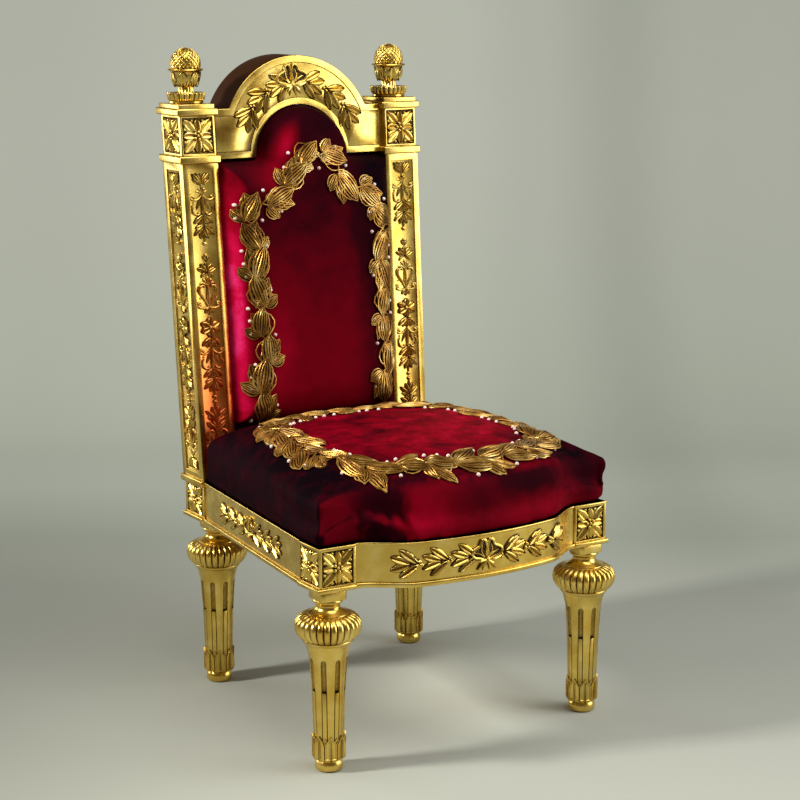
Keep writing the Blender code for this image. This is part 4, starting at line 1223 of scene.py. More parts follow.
def scrolls(face, at):
    """Volutes, S-shaped arms, a stem, a fan of leaves and a drop, hung from d = 44."""
    made = strands(face, 1.7, at, (1.5, 45), (8, 51.5), (14, 53), (20, 50.5), (21.5, 45.5),
                   (17.5, 43))
    made += strands(face, 1.8, at, (15.5, 62), (18.8, 67), (18.2, 73), (14.5, 79), (9.5, 80.5),
                    (6.0, 77))
    made += stem(face, at, 43, 56, 69, 82)
    for side in (-1, 1):
        made += bead(face, side * 17.0, at(47), 3.5, 1.1) + bead(face, side * 16.0, at(58.5), 2.0)
        made += bead(face, side * 6.6, at(77.4), 2.6)
        made += leaf_pairs(face, at, side, ((2.0, 47), (11.5, 71), 5.0),
                           ((0, 80), (17.5, 97), 8.5), ((0, 82), (9.0, 100), 7.0),
                           ((0, 99), (16, 106), 7.0), ((0, 100), (18.5, 119), 8.0),
                           ((0, 102), (7.5, 125), 8.0))
    made += leaf_pairs(face, at, 1, ((0, 81), (0, 104), 7.5), ((0, 118), (0, 131), 5.0))
    return made + bead(face, 0, at(80.5), 2.8) + bead(face, 0, at(134), 4.2)


def pendant(face, top, way):
    """The short ornament, hung from its crown, or standing on it when way is 1."""
    def at(distance):
        return top + way * distance

    made = scrolls(face, at)
    for tip, wide in (((0, 4), 8.5), ((9, 3.5), 8.0), ((16, 4), 8.5), ((16, 14), 7.0)):
        for side in (-1, 1) if tip[0] else (1,):
            made += leaf_pairs(face, at, side, ((0, 26), tip, wide))
    spin = 0 if way < 0 else 180
    made += copied(palmette, face @ lay(0.0, at(43) / 1000, spin, (0.0125, 0.0150, 0.0140)))
    return made + bead(face, 0, at(26), 2.6)


def long_ornament(face, middle):
    """The long ornament: a lyre of scrolls above a flower, and hanging scrolls below."""
    def at(rise):
        return middle + rise

    made = scrolls(face, lambda distance: middle + 3.5 - distance)
    made += strands(face, 2.0, at, (1, 40), (6.5, 51), (13, 62), (16, 70), (13.5, 76.5), (8, 78),
                    (5.5, 74.5))
    made += strands(face, 1.8, at, (1, 38), (8, 36), (15, 37), (20, 41.5), (19, 46.5), (14.5, 46))
    made += stem(face, at, 36, 50, 64, 78)
    for side in (-1, 1):
        made += bead(face, side * 16.2, at(42.5), 3.2, 1.1) + bead(face, side * 14.5, at(54.5), 2.0)
        made += leaf_pairs(face, at, side, ((0, 38), (8, 26), 7.0), ((0, 102), (17, 111), 8.5),
                           ((0, 102), (11, 119), 8.5), ((0, 104), (12, 93), 6.5),
                           ((0, -18), (16.5, -35), 9.5), ((0, -18), (8.5, -38), 8.5),
                           ((0, 122), (6.0, 133), 5.5))
    made += copied(palmette, face @ lay(0.0, at(76) / 1000, 0, (0.0165, 0.0190, 0.0160)))
    made += leaf_pairs(face, at, 1, ((0, 38), (0, 23), 7.0), ((0, 102), (0, 121), 8.5),
                       ((0, -18), (0, -39), 8.5))
    for k in range(6):
        turn = math.radians(90 + 60 * k)
        tip = (19.0 * math.cos(turn), middle + 19.0 * math.sin(turn))
        made += pointed(face, (0, middle), tip, 13.0, 5.4)
    return made + bead(face, 0, middle, 4.4, 1.2) + bead(face, 0, at(134), 3.4)


def stile():
    """The leaning part of a post, still upright: shaft, panels, collars and head."""
    inner, outer = BACK_HALF - POST_WIDTH, BACK_HALF
    low, high = (inner, BACK_FACE), (outer, BACK_FACE + POST_DEPTH)
    shaft = block((*low, POST_BASE), (*high, COLLAR_TOP))
    middle = ((inner + outer) / 2, BACK_FACE + POST_DEPTH / 2)
    sunk(shaft, (0, -1, 0), (0.050, 0, PANEL_TALL), TILE_SUNK, (middle[0], BACK_FACE, PANEL_MIDDLE))
    sunk(shaft, (1, 0, 0), (0, 0.054, PANEL_TALL), TILE_SUNK, (outer, middle[1], PANEL_MIDDLE))
    softened(shaft, 0.0006)
    head_low = (inner + HEAD_INSET, BACK_FACE + HEAD_INSET, COLLAR_TOP - 0.002)
    head_high = (outer - HEAD_INSET, BACK_FACE + POST_DEPTH - HEAD_INSET, CAP_BASE + 0.002)
    head = block(head_low, head_high)
    head_middle = (COLLAR_TOP + CAP_BASE) / 2
    wide, tall = HEAD_TILE
    for facing, size, spot in (((0, -1, 0), (wide, 0, tall), (middle[0], head_low[1], head_middle)),
                               ((1, 0, 0), (0, wide, tall), (head_high[0], middle[1], head_middle))):
        sunk(head, facing, size, TILE_SUNK, spot, TILE_WAX)
    softened(head, 0.0005)
    bands = [banded(low, high, COLLAR_OUT, POST_BASE, FOOT_TOP, sides=(0, 1, 0, 1)),
             banded(low, high, COLLAR_OUT, COLLAR_BASE, COLLAR_TOP),
             banded(low, high, COLLAR_OUT, CAP_BASE, CAP_STEP),
             banded(low, high, 0.0, CAP_STEP - 0.002, CAP_TOP, 0.0012)]
    carving = []
    for face in (ground((middle[0], BACK_FACE + TILE_SUNK, 0.0), (1, 0, 0)),
                 ground((outer - TILE_SUNK, middle[1], 0.0), (0, 1, 0))):
        face = face @ Matrix.Diagonal((*ORNAMENT_GROW, 1.0))
        carving += pendant(face, 976.5, -1) + long_ornament(face, 687.0) + pendant(face, 413.0, 1)
    for face in (ground((middle[0], head_low[1] + TILE_SUNK, head_middle), (1, 0, 0)),
                 ground((head_high[0] - TILE_SUNK, middle[1], head_middle), (0, 1, 0))):
        carving += rosette_tile(face, *HEAD_TILE)
    piece = joined([shaft, head, *bands, *carving])
    piece.data.transform(POST_LEAN)
    return piece


def back_post():
    """A rear leg, its block and the leaning stile above, on the right."""
    inner, outer = BACK_HALF - POST_WIDTH, BACK_HALF
    low = (inner, BACK_FACE, RAIL_BASE)
    high = (outer, BACK_FACE + REAR_BLOCK, POST_BASE + 0.002)
    body = block(low, high)
    middle = (outer, BACK_FACE + REAR_BLOCK / 2, (MOULDING_TOP + POST_BASE) / 2)
    sunk(body, (1, 0, 0), (0, TILE, REAR_TILE), TILE_SUNK, middle, TILE_WAX)
    softened(body, 0.0005)
    face = ground((outer - TILE_SUNK, middle[1], middle[2]), (0, 1, 0))
    tile = rosette_tile(face, TILE, REAR_TILE)
    moulding = banded(low, high, MOULDING_OUT, RAIL_BASE, MOULDING_TOP, sides=(0, 1, 0, 1))
    standing = copied(leg, Matrix.Translation((*REAR_LEG, 0.0)))
    return joined([body, moulding, *tile, stile(), *standing])


both_hands(back_post(), "back_post")

# %% [markdown]
# ## The crest rail
# The crest is sawn from one thick plank: a round arch over a round opening, with flat
# shoulders that butt against the posts. A band stands along its edges, a thin line is
# scratched inside the band, and a laurel garland hangs both ways from a bow.

# %% Crest
CREST_FACE = BACK_FACE + 0.014
CREST_REAR = BACK_FACE + 0.096
CREST_BASE, CREST_SHOULDER = 0.9945, 1.0870
ARCH_CENTRE, ARCH_RADIUS = 1.0203, 0.1624
OPENING_CENTRE, OPENING_RADIUS = 0.9960, 0.0950
# EDGE_SHADE is painted shade on the outer edge of the arch.
SPRAY_CENTRE, SPRAY_RADIUS, EDGE_SHADE = 1.0060, 0.1235, 0.80


def inner_side(z):
    """The inner face of a post at a height."""
    return BACK_HALF - POST_WIDTH + SPLAY * (z - POST_BASE)


def arc(centre, radius, start, stop, count):
    """Points round an upright circle whose centre stands at a height."""
    turn = (stop - start) / count
    return [(radius * math.cos(start + turn * k), centre + radius * math.sin(start + turn * k))
            for k in range(count + 1)]


def crest_outline(inset=0.0):
    """The crest from the front, drawn inwards by an inset."""
    radius, opening = ARCH_RADIUS - inset, OPENING_RADIUS + inset
    shoulder, base = CREST_SHOULDER - inset, CREST_BASE + inset
    start = math.asin((shoulder - ARCH_CENTRE) / radius)
    low = math.asin((base - OPENING_CENTRE) / opening)
    side = inner_side(ARCH_CENTRE) - FIT - COLLAR_OUT
    over = arc(ARCH_CENTRE, radius, start, math.pi - start, 48)
    under = arc(OPENING_CENTRE, opening, math.pi - low, low, 40)
    return [(side, base), (side, shoulder), *over, (-side, shoulder), (-side, base), *under]


def crest_slab(inset, front, rear):
    """The plank of the crest from its rear face to its front."""
    drawn([(x, rear, z) for x, z in crest_outline(inset)])
    pulled(0.0, front - rear, 0.0)
    return outward()


def shoulder_block(side):
    """Fills the gap between the crest and the head of one post."""
    reach = side * (inner_side(ARCH_CENTRE) - FIT + HEAD_INSET)
    inner, outer = ((reach - 0.009, reach) if side > 0 else (reach, reach + 0.009))
    return block((inner, CREST_FACE, COLLAR_TOP + FIT),
                 (outer, CREST_REAR - 0.004, CAP_BASE - FIT))


def crest_rail():
    """The arched plank with its scratched line, its shoulders, and the garland."""
    slab = softened(crest_slab(0.0, CREST_FACE - 0.002, CREST_REAR), 0.0012, 3, 50)
    hollow = crest_slab(0.0125, CREST_FACE - 0.010, CREST_FACE)
    applied(slab, "BOOLEAN", operation="DIFFERENCE", object=hollow, solver="EXACT")
    put_away(hollow)
    edit(slab, "FACE")
    pick(lambda middle, way: way.y < -0.99 and abs(middle.y - CREST_FACE) < 0.0002)
    waxed_and_shaded(1.0)
    bpy.ops.mesh.inset(thickness=0.0011, use_even_offset=True)
    waxed_and_shaded(0.0)
    shifted(0.0, -0.0007, 0.0)
    # Painted shade along the outer edge of the arch.
    pick(lambda middle, way: abs(way.y) < 0.3
         and math.hypot(middle.x, middle.z - ARCH_CENTRE) > ARCH_RADIUS - 0.001)
    waxed_and_shaded(EDGE_SHADE)
    outward()
    made = [joined([slab, *[shoulder_block(side) for side in (-1, 1)]])]
    face = ground((0.0, CREST_FACE, 0.0), (1, 0, 0))
    made += copied(bow_knot, face @ lay(-0.011, 1.1275, 4, (0.0320, 0.0370, 0.0310)))
    for side, spots in ((-1, (20.0, 41.5, 61.5)), (1, (16.5, 40.0, 62.5))):
        for shift in spots:
            angle = math.radians(90 - side * shift)
            spot = Matrix.Translation((SPRAY_RADIUS * math.cos(angle),
                                       SPRAY_CENTRE + SPRAY_RADIUS * math.sin(angle), 0.0))
            back = Matrix.Translation((-side * 0.025, 0.003, 0.0))
            turn = Matrix.Rotation(angle - math.pi / 2, 4, "Z") @ back
            made += garland(face @ spot @ turn, side, 51.0, 1.10, shift > 30)
    piece = joined(made)
    piece.data.transform(LEAN)
    return piece


crest = dressed(crest_rail(), "crest_rail_carved", gold)
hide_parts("crest_rail")

# %% [markdown]
# ## Finials
# A pine cone stands in a calyx of leaves on a short neck and a fluted cup. The scales
# of the cone are one small lozenge, copied in staggered rings.

# %% Finials
CENTRE_X = BACK_HALF - POST_WIDTH / 2 + SPLAY * (CAP_TOP - POST_BASE)
CENTRE_Y = BACK_FACE + POST_DEPTH / 2 + RAKE * (CAP_TOP - POST_BASE)


def lobed(piece, count, depth, inner):
    """Presses a valley between each of the lobes of a turned piece."""
    edit(piece)
    steps = 6
    for phase in range(steps // 2):
        off = 1.0 - 2.0 * phase / steps

        def in_valley(middle, way):
            turn = math.atan2(middle.y, middle.x) / (2 * math.pi / count)
            return abs(abs(turn - round(turn)) * 2 - off) < 0.05 and middle.xy.length > inner

        pick(in_valley)
        share = 1.0 - depth * (1.0 - math.sqrt(max(0.0, 1.0 - off**2)))
        resized((share, share, 1.0), (0, 0, 0.0))
    return outward()


CONE_RINGS = (
    (0.0274, 0.0656, 6), (0.0285, 0.0712, 0), (0.0281, 0.0768, -8), (0.0266, 0.0823, -18),
    (0.0239, 0.0873, -30), (0.0201, 0.0919, -42), (0.0152, 0.0957, -54), (0.0094, 0.0984, -68),
)
SCALES, SCALE_TALL, SCALE_THICK = 16, 0.0063, 0.0019


def cone_scales():
    """Lozenges with a raised point, in staggered rings round the cone."""
    clear_selection()
    bpy.ops.mesh.primitive_circle_add(vertices=4, radius=1.0, fill_type="NGON")
    scale = settled()
    edit(scale, "FACE")
    pick_all()
    for rise, share in ((0.55, 0.86), (0.45, 0.62)):
        pulled(0, 0, rise)
        resized((share, share, 1.0), (0, 0, 0.0))
    scale = outward()
    made = []
    for row, (radius, height, slope) in enumerate(CONE_RINGS):
        tip = Matrix.Rotation(math.radians(90 + slope), 4, "Y")
        half = (radius - 0.002) * math.pi / SCALES
        size = Matrix.Diagonal((SCALE_TALL, half * 1.01, SCALE_THICK, 1.0))
        places = around(SCALES, radius - 0.0020, height, row * math.pi / SCALES)
        made += copied(scale, *[p @ tip @ size for p in places])
    put_away(scale)
    return made


def finial():
    """The cup, neck, calyx and cone of one finial."""
    base = turned([(0.0300, 0.0), (0.0318, 0.0010), (0.0320, 0.0042), (0.0306, 0.0056),
                   (0.0230, 0.0062)], 48)
    cup = turned([(0.0300, 0.0052), (0.0338, 0.0064), (0.0352, 0.0090), (0.0358, 0.0150),
                  (0.0368, 0.0185), (0.0360, 0.0198), (0.0325, 0.0196), (0.0180, 0.0150)], 132)
    cup = lobed(cup, 22, 0.10, 0.0330)
    neck = turned([(0.0200, 0.0145), (0.0165, 0.0180), (0.0148, 0.0230), (0.0142, 0.0290),
                   (0.0150, 0.0335), (0.0170, 0.0355)], 60)
    neck = lobed(neck, 10, 0.10, 0.0130)
    calyx = turned([(0.0150, 0.0300), (0.0200, 0.0328), (0.0238, 0.0385), (0.0258, 0.0450),
                    (0.0266, 0.0515), (0.0270, 0.0565), (0.0292, 0.0588), (0.0324, 0.0600),
                    (0.0334, 0.0613), (0.0326, 0.0630), (0.0288, 0.0638), (0.0240, 0.0642)], 48)
    tipped = []
    for start, size in ((0.0, (0.0290, 0.0200, -0.0036)), (math.pi / 7, (0.0240, 0.0140, -0.0030))):
        upright = Matrix.Rotation(math.radians(-76), 4, "Y") @ Matrix.Diagonal((*size, 1.0))
        tipped += copied(leaf, *[p @ upright for p in around(7, 0.0202, 0.0302, start)])
    profile = [(0.0240, 0.0630), (0.0276, 0.0665), (0.0286, 0.0725), (0.0280, 0.0790),
               (0.0255, 0.0862), (0.0208, 0.0930), (0.0140, 0.0985), (0.0060, 0.1010)]
    cone = turned([(r - 0.0022, z - 0.0004) for r, z in profile], 32)
    scales = cone_scales()
    tip_bead = copied(berry, Matrix.Translation((0, 0, 0.0996)) @ Matrix.Scale(0.0026, 4))
    piece = joined([base, cup, neck, calyx, *tipped, cone, *scales, *tip_bead])
    piece.data.transform(Matrix.Translation((CENTRE_X, CENTRE_Y, CAP_TOP + FIT)))
    return piece


both_hands(finial(), "finial")
put_away(leg)

# %% [markdown]
# ## The seat cushion
# Velvet is stretched over a sprung and stuffed seat and tacked along the rails. It
# follows the bow in front, drops behind between the posts, and is highest in the
# middle. It starts as its outline drawn up to the rim, is remeshed finely, crowned,
# and then blown up a little by a cloth simulation so that it fills out as stuffing does.

# %% Cushion outline and crown
EDGE_HEIGHT, CROWN = 0.483, 0.035
FRAMES, SEAT_CAP, PAD_CAP, PLEAT = 20, 0.012, 0.004, 0.0020
CUSHION_REAR = 0.5135


def cushion_outline():
    """The cushion from above: along the bow, back to the posts and in between them."""
    edge = SEAT_HALF - 0.0010
    notch = inner_side(POST_BASE) - 0.0015
    rear = BACK_FACE + 0.0540
    end = SEAT_HALF - BLOCK
    front = [(x, bow(x) + 0.003) for x in np.linspace(-end, end, 41)]
    stations = (0.08, 0.20, 0.32, 0.44, CUSHION_REAR)
    right = [(edge, FACE + 0.004)] + [(side_line(y) - 0.001, FACE + y) for y in stations]
    right += [(notch, FACE + CUSHION_REAR), (notch, rear)]
    return front + right + [(-x, y) for x, y in right[::-1]]


def crown(x, y):
    """The height of the cushion's top."""
    across = 1.0 - min(1.0, abs(x) / SEAT_HALF) ** 4
    along = 1.0 - min(1.0, abs(y - FACE - 0.2150) / 0.3300) ** 3
    return EDGE_HEIGHT + CROWN * across * along


def stuffed(piece, name, pinned, cap, pressure=4.0):
    """Lets pressure fill a padded piece, and holds each point within a cap."""
    start = np.array([v.co for v in piece.data.vertices])
    group = piece.vertex_groups.new(name="pinned")
    for vertex in piece.data.vertices:
        if pinned(vertex.co):
            group.add([vertex.index], 1.0, "REPLACE")
    cloth = piece.modifiers.new("filling", "CLOTH")
    cloth.settings.vertex_group_mass = "pinned"
    cloth.settings.use_pressure = True
    cloth.settings.uniform_pressure_force = pressure
    cloth.settings.effector_weights.gravity = 0.0
    cloth.point_cache.frame_start, cloth.point_cache.frame_end = 1, FRAMES
    for step in range(1, FRAMES + 1):
        bpy.context.scene.frame_set(step)
    choose(piece)
    bpy.ops.object.modifier_apply(modifier=cloth.name)
    bpy.context.scene.frame_set(1)
    after = np.array([v.co for v in piece.data.vertices])
    move = after - start
    length = np.maximum(np.linalg.norm(move, axis=1), 1e-9)
    after = start + move * (np.minimum(length, cap) / length)[:, None]
    piece.data.vertices.foreach_set("co", after.ravel())
    piece.data.update()
    piece.vertex_groups.clear()
    print(name, "filled out by up to", round(1000 * float(min(length.max(), cap)), 1), "mm")


def seat_cushion():
    """The cushion drawn up, crowned, filled out, and pleated at its front corners."""
    base = RAIL_TOP + FIT
    body = drawn([(x, y, base) for x, y in cushion_outline()])
    pulled(0, 0, EDGE_HEIGHT - base)
    outward()
    edit(body)
    pick(lambda middle, way: middle.z > EDGE_HEIGHT - 0.001 and middle.y < FACE + 0.42)
    resized((1.065, 1.02, 1.0), (-0.12, FACE + 0.25, 0.0))
    outward()
    edit(body, "EDGE")
    pick(lambda middle, way: middle.z > EDGE_HEIGHT - 0.001)
    bpy.ops.mesh.bevel(offset=0.022, segments=5, affect="EDGES")
    outward()
    applied(body, "REMESH", mode="VOXEL", voxel_size=0.007)
    for vertex in body.data.vertices:
        share = (vertex.co.z - EDGE_HEIGHT + 0.014) / 0.014
        if share > 0:
            vertex.co.z += min(1.0, share) * (crown(vertex.co.x, vertex.co.y) - EDGE_HEIGHT - 0.003)
    stuffed(body, "seat cushion", lambda p: p.z < base + 0.02 or p.y > FACE + 0.50, SEAT_CAP)
    applied(body, "SMOOTH", iterations=4, factor=0.5)
    applied(body, "SUBSURF", levels=1, render_levels=1)
    for side in (-1, 1):
        corner = max(cushion_outline(), key=lambda p: side * p[0] - p[1])
        for vertex in body.data.vertices:
            out, along = side * (vertex.co.x - corner[0]), -(vertex.co.y - corner[1])
            if abs(out) < 0.05 and abs(along) < 0.05 and vertex.co.z < EDGE_HEIGHT + 0.01:
                pinch = PLEAT * math.exp(-(((out - along) / 0.008) ** 2))
                vertex.co.x -= side * pinch
                vertex.co.y += pinch
    return body


def seat_painted_light(places, ways):
    """Painted light on the pile: the top lit, the left side in painted shade, the front in painted
    patches of light and shade.
    """
    top = smooth_step(0.50, 0.92, ways[:, 2])
    left = smooth_step(0.20, 0.70, -ways[:, 0])
    front = 0.38 + sum(amount * patch(places, middle, reach) for amount, middle, reach in (
        (0.25, (-0.130, -0.34, 0.435), (0.070, 0.2, 0.045)),
        (0.12, (0.12, -0.34, 0.415), (0.130, 0.2, 0.022)),
        (-0.24, (0.10, -0.34, 0.478), (0.090, 0.2, 0.028)),
        (-0.10, (-0.02, -0.34, 0.445), (0.040, 0.2, 0.030)),
        (-0.26, (0.26, -0.30, 0.480), (0.050, 0.2, 0.060)),
        (-0.10, (-0.215, -0.30, 0.440), (0.030, 0.2, 0.080)),
    ))
    away = np.hypot((places[:, 0] - 0.01) / 0.225, (places[:, 1] + 0.075) / 0.225)
    inside = 1.0 - smooth_step(0.80, 1.15, away)
    level = 0.27 + 0.14 * inside + 0.12 * patch(places, (0.15, 0.00, 0.5), (0.10, 0.12, 1.0))
    level += 0.08 * patch(places, (0.06, -0.17, 0.5), (0.10, 0.05, 1.0))
    level -= 0.12 * patch(places, (0.04, 0.04, 0.5), (0.09, 0.035, 1.0))
    level -= 0.24 * smooth_step(-0.12, -0.24, places[:, 0]) * (1.0 - inside)
    level -= 0.26 * patch(places, (0.260, -0.26, 0.5), (0.090, 0.14, 1.0))
    wall = front * (1.0 - left) + 0.05 * left
    return np.clip(top * level + (1.0 - top) * wall, 0.0, 1.0), 0.26 + 0.62 * top


cushion = dressed(seat_cushion(), "seat_cushion_velvet", velvet, 80.0)
# Painted light and shade on the seat's pile.
paint_pile_light(cushion, seat_painted_light)
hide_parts("seat_cushion")

# %% [markdown]
# ## The back pad
# The pad fills the opening between the posts and under the arch. It swells well ahead
# of the posts, with tight round edges.

# %% Back pad
PAD_BASE, PAD_BULGE = 0.4970, 0.040
PAD_REAR = BACK_FACE + 0.0547


def pad_outline(gap, base, shoulder):
    """The pad from the front, with a gap to the posts and the arch."""
    radius = OPENING_RADIUS - gap
    low = math.asin((shoulder - OPENING_CENTRE) / radius)
    sides = [(inner_side(z) - gap, z) for z in (base, 0.66, 0.83, shoulder)]
    over = arc(OPENING_CENTRE, radius, low, math.pi - low, 32)
    return sides + over + [(-x, z) for x, z in sides[::-1]]


def edge_distance(points, outline):
    """How far each (x, z) point is from the outline."""
    ends = np.array(outline)
    starts, runs = ends, np.roll(ends, -1, axis=0) - ends
    best = np.full(len(points), 1e9)
    for start, run in zip(starts, runs):
        share = np.clip(((points - start) @ run) / (run @ run), 0.0, 1.0)
        best = np.minimum(best, np.linalg.norm(points - start - share[:, None] * run, axis=1))
    return best


def back_pad():
    """The pad drawn forward, swelled to its round edges, filled out and leant back."""
    outline = pad_outline(0.0015, PAD_BASE, COLLAR_BASE - 0.0015)
    front = BACK_FACE - 0.001
    body = drawn([(x, PAD_REAR, z) for x, z in outline])
    pulled(0, front - PAD_REAR, 0)
    outward()
    applied(body, "REMESH", mode="VOXEL", voxel_size=0.006)
    points = np.array([v.co for v in body.data.vertices])
    near = edge_distance(points[:, [0, 2]], outline)
    rim = 1.0 - np.minimum(near / 0.046, 1.0)
    swell = (PAD_BULGE - 0.004) * np.sqrt(np.maximum(0.0, 1.0 - rim**2))
    ahead = np.clip((PAD_REAR - points[:, 1]) / (PAD_REAR - front), 0.0, 1.0)
    points[:, 1] -= swell * ahead**2
    body.data.vertices.foreach_set("co", points.ravel())
    body.data.update()
    stuffed(body, "back pad", lambda p: p.y > BACK_FACE + 0.01, PAD_CAP)
    applied(body, "SMOOTH", iterations=4, factor=0.5)
    body.data.transform(LEAN)
    return applied(body, "SUBSURF", levels=1, render_levels=1)


def pad_painted_light(places, ways):
    """Painted light on the pile: a pink painted highlight down the left flank, painted shade in the
    middle and on the right, the arch nearly black in painted shade with a painted highlight on its
    left.
    """
    height = places[:, 2]
    level = 0.44 - 0.22 * smooth_step(0.60, 0.98, height)
    level += 0.12 * patch(places, (-0.090, 0.2, 0.66), (0.035, 1.0, 0.12))
    level -= 0.20 * smooth_step(0.06, 0.13, places[:, 0])
    level -= 0.12 * smooth_step(1.00, 1.06, height)
    along = places[:, 0] * 0.45 + (height - 1.025) * 0.89
    aside = (places[:, 0] + 0.053) * 0.89 - (height - 1.025) * 0.45
    level += 0.48 * np.exp(-((along + 0.026) / 0.044) ** 2 - (aside / 0.019) ** 2)
    level += 0.22 * patch(places, (-0.085, 0.2, 0.955), (0.045, 1.0, 0.030))
    flank = smooth_step(0.30, 0.70, -ways[:, 0]) * smooth_step(1.02, 0.93, height)
    pink = 0.84 - 0.26 * smooth_step(0.78, 0.95, height) - 0.16 * smooth_step(0.60, 0.52, height)
    return np.clip(level * (1 - flank) + pink * flank, 0.0, 1.0), 0.20 + 0.50 * flank


pad = dressed(back_pad(), "back_pad_velvet", velvet, 80.0)
# Painted light and shade on the pad's pile.
paint_pile_light(pad, pad_painted_light)
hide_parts("back_pad")

# %% [markdown]
# ## Back panel and seat board
# Neither shows from the front. A board closes the back and is covered with plain
# lining, and the seat board lies under the cushion.

# %% Panel and board


def merged_copy(node, name, finish, width):
    """A copy of a plain board with its corners merged and its edges eased."""
    piece = copied(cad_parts[node], Matrix.Identity(4))[0]
    for key in list(piece.keys()):
        if key.startswith("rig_"):
            del piece[key]
    edit(piece)
    pick_all()
    bpy.ops.mesh.remove_doubles(threshold=0.00002)
    bpy.ops.mesh.dissolve_limited(angle_limit=math.radians(1.0))
    outward()
    dressed(softened(piece, width), name, finish)
    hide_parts(node)
    return piece


merged_copy("back_panel", "back_panel_lined", lining, 0.0012)
merged_copy("seat_board", "seat_board_bare", beech, 0.0010)

# %% [markdown]
# ## Embroidery
# The borders are leaves worked in gold purl over card: a raised edge cord and a fan of
# finer cords inside it. One leaf is modelled flat, copied along the border's line, and
# the whole border is then let down on to the velvet, point by point.

# %% The embroidered leaf


def purl_leaf():
    """A flat leaf one unit long: thick cords from foot to tip on a padded ground darkened as painted
    shade.
    """
    def side(t):
        return 0.33 * math.sin(math.pi * t**0.90) ** 0.56

    runs = (0.0, 0.06, 0.15, 0.3, 0.45, 0.6, 0.75, 0.88, 0.96)
    outline = [(t, side(t)) for t in runs] + [(1.0, 0.0)]
    drawn([(u, v, 0.0) for u, v in outline] + [(u, -v, 0.0) for u, v in outline[-2:0:-1]])
    # The padded ground under the cords is darkened as painted shade.
    waxed_and_shaded(1.0)
    pulled(0.0, 0.0, 0.03)
    waxed_and_shaded(1.0)
    made = [outward()]
    for way in (-1, 1):
        for share, reach in ((1.0, 0.98), (0.68, 1.03), (0.34, 0.95)):
            steps = [k / 6 for k in range(7)]
            path = [(0.01 + reach * t,
                     way * side(t) * share * (1.0 if share == 1.0 else 0.7 + 0.3 * t),
                     0.045 + 0.06 * (1 - share)) for t in steps]
            radii = [0.038 * (0.45 + 0.60 * math.sin(math.pi * t)) for t in steps]
            made.append(cord(path, radii, 6, 2))
    made.append(cord([(0.0, 0, 0.08), (0.5, 0, 0.13), (1.02, 0, 0.06)], (0.028, 0.034, 0.018), 6, 3))
    return joined(made)


purl = purl_leaf()
print("one embroidered leaf has", len(purl.data.polygons), "faces")

# %% Laying a border


def rounded(path, closed):
    """Cuts the corners off a path twice, so that it bends gently."""
    for _ in range(2):
        pairs = list(zip(path, path[1:] + (path[:1] if closed else [])))
        cut = [p.lerp(q, t) for p, q in pairs for t in (0.25, 0.75)]
        path = cut if closed else [path[0], *cut, path[-1]]
    return path + path[:1] if closed else path


def seat_bud(count, flip, tilts):
    """The leaves of one bud on the seat: shape, side, growth, breadth, tilt and rise."""
    under = leaf if count % 3 == 0 else purl
    leaves = [(under, -flip, 0.88, 0.66, tilts[1], 0.0), (purl, flip, 1.0, 0.74, tilts[0], 0.0016)]
    return leaves + [(purl, -flip, 0.60, 0.72, 64, 0.0004)] * (count % 2)


def pad_bud(count, flip, tilts):
    """The leaves of one bud on the pad, which point back along the line."""
    return [(purl, flip, 0.52, 0.62, 52, 0.0), (purl, -flip, 0.96, 0.78, tilts[1], 0.0006),
            (purl, flip, 1.0, 0.80, tilts[0], 0.0026)]


def border(path, closed, bud, spacing, length, tilts, apart, swing, sway):
    """Buds of leaves, two wandering cords and pearls along a line of (u, v) points."""
    path = rounded([Vector(p) for p in path], closed)
    gold_work, pearls, weave = [], [], ([], [])
    count, left = 0, 0.0
    for start, stop in zip(path, path[1:]):
        run = (stop - start).length
        way = (stop - start).normalized()
        across = Vector((-way.y, way.x))
        turn = math.degrees(math.atan2(way.y, way.x))
        here = left
        while here < run:
            flip = 1 if count % 2 else -1
            spot = start + way * here + across * 0.003 * math.sin(count * 2.1)
            wander = sway * math.sin(count * 2.4)
            size = length * (1 + 0.10 * math.sin(count * 1.7))
            for shape, side, grow, broad, tilt, rise in bud(count, flip, tilts):
                foot = spot + across * side * apart
                wide, tall = (broad * 0.56, 0.10) if shape is leaf else (broad, 0.7)
                shares = (size * grow, side * size * wide, size * tall)
                place = lay(foot.x, foot.y, turn + side * tilt + wander, shares)
                gold_work += copied(shape, Matrix.Translation((0, 0, rise)) @ place)
            for strand_points, side in zip(weave, (-flip, flip)):
                for along, off in ((0.0, 0.25), (0.5, 1.0)):
                    bend = spot + way * spacing * along + across * side * swing * off
                    strand_points.append((bend.x, bend.y, 0.0052 if off < 1 else 0.0022))
            for k, (off, along) in enumerate(((1.12, 0.10), (-1.05, 0.00), (1.15, 0.55))):
                if (count * 3 + k) % 4:
                    drop = spot + across * flip * swing * off + way * spacing * along
                    pearls += copied(berry, lay(drop.x, drop.y, 0, PEARL_SIZE))
            here += spacing
            count += 1
        left = here - run
    for strand_points in weave:
        gold_work.append(cord(strand_points, [0.0013] * len(strand_points), 6, 3, closed))
    return gold_work, pearls


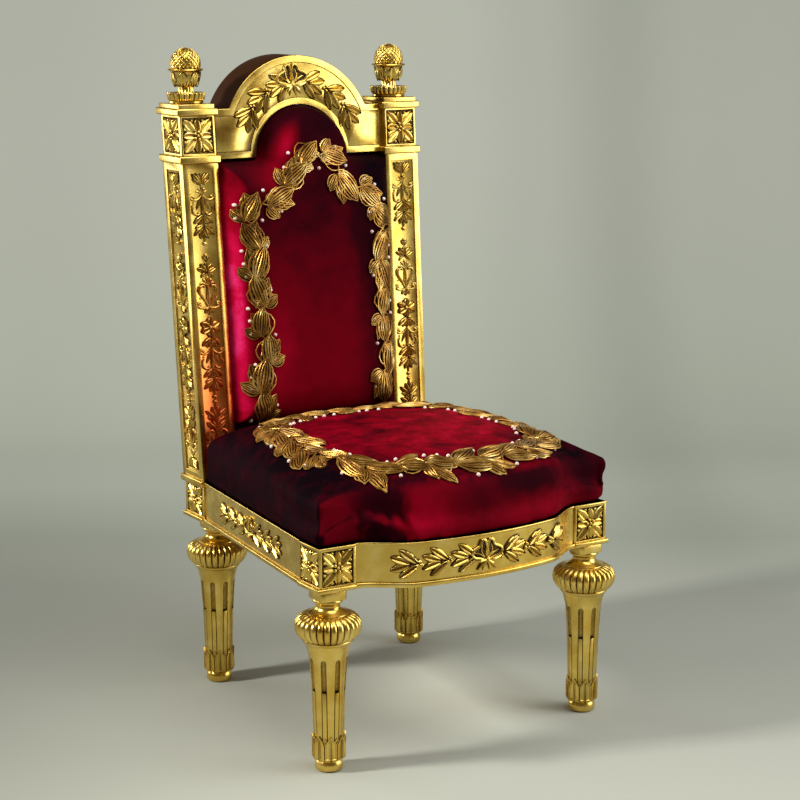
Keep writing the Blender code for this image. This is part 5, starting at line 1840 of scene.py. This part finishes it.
def let_down(piece, cloth, axis):
    """Drops each point of a flat border on to the cloth along one axis."""
    bpy.context.view_layer.update()
    missed = 0
    for vertex in piece.data.vertices:
        u, v, height = vertex.co
        if axis == "z":
            start, way, near = Vector((u, v, 1.0)), Vector((0, 0, -1)), Vector((u, v, 0.5))
        else:
            start, way, near = Vector((u, -1.0, v)), Vector((0, 1, 0)), Vector((u, 0.19, v))
        hit, where, normal, _ = cloth.ray_cast(start, way)
        if not hit:
            missed += 1
            _, where, normal, _ = cloth.closest_point_on_mesh(near)
        vertex.co = where + normal * height
    print(piece.name, "laid on", cloth.name, "with", missed, "points off the cloth")


# %% The two borders
PEARL_SIZE = (0.0035, 0.0035, 0.0042)
SEAT_LOOP = [
    (-0.190, 0.050), (-0.205, -0.060), (-0.215, -0.175), (-0.165, -0.262), (-0.060, -0.300),
    (0.060, -0.305), (0.170, -0.270), (0.222, -0.180), (0.225, -0.060), (0.205, 0.060),
    (0.130, 0.130), (0.0, 0.150), (-0.130, 0.126),
]
PAD_LINE = [
    (-0.130, 0.506), (-0.124, 0.640), (-0.130, 0.750), (-0.144, 0.915), (-0.106, 0.920),
    (-0.070, 0.930), (-0.050, 0.955), (-0.040, 0.990), (0.002, 1.004), (0.044, 0.986),
    (0.056, 0.955), (0.083, 0.930), (0.120, 0.914), (0.142, 0.900), (0.139, 0.790),
    (0.141, 0.650), (0.140, 0.560),
]


def laid(pieces, cloth, axis):
    """Joins pieces, lets them down on the cloth and turns their faces outwards."""
    piece = joined(pieces)
    let_down(piece, cloth, axis)
    edit(piece)
    return outward()


SEAT_WORK = (SEAT_LOOP, True, seat_bud, 0.0525, 0.067, (9, 30), 0.0045, 0.026, 16)
PAD_WORK = (PAD_LINE, False, pad_bud, 0.0540, 0.059, (-15, -27), 0.0085, 0.021, 9)
for name, cloth, axis, work in (("seat_border", cushion, "z", SEAT_WORK),
                                ("back_border", pad, "y", PAD_WORK)):
    gold_work, beads = border(*work)
    dressed(laid(gold_work, cloth, axis), name + "_purl", thread, 50.0)
    dressed(laid(beads, cloth, axis), name + "_pearls", pearl, 60.0)

put_away(leaf, berry, palmette, bow_knot, purl)

# %% Finish
bpy.context.view_layer.update()
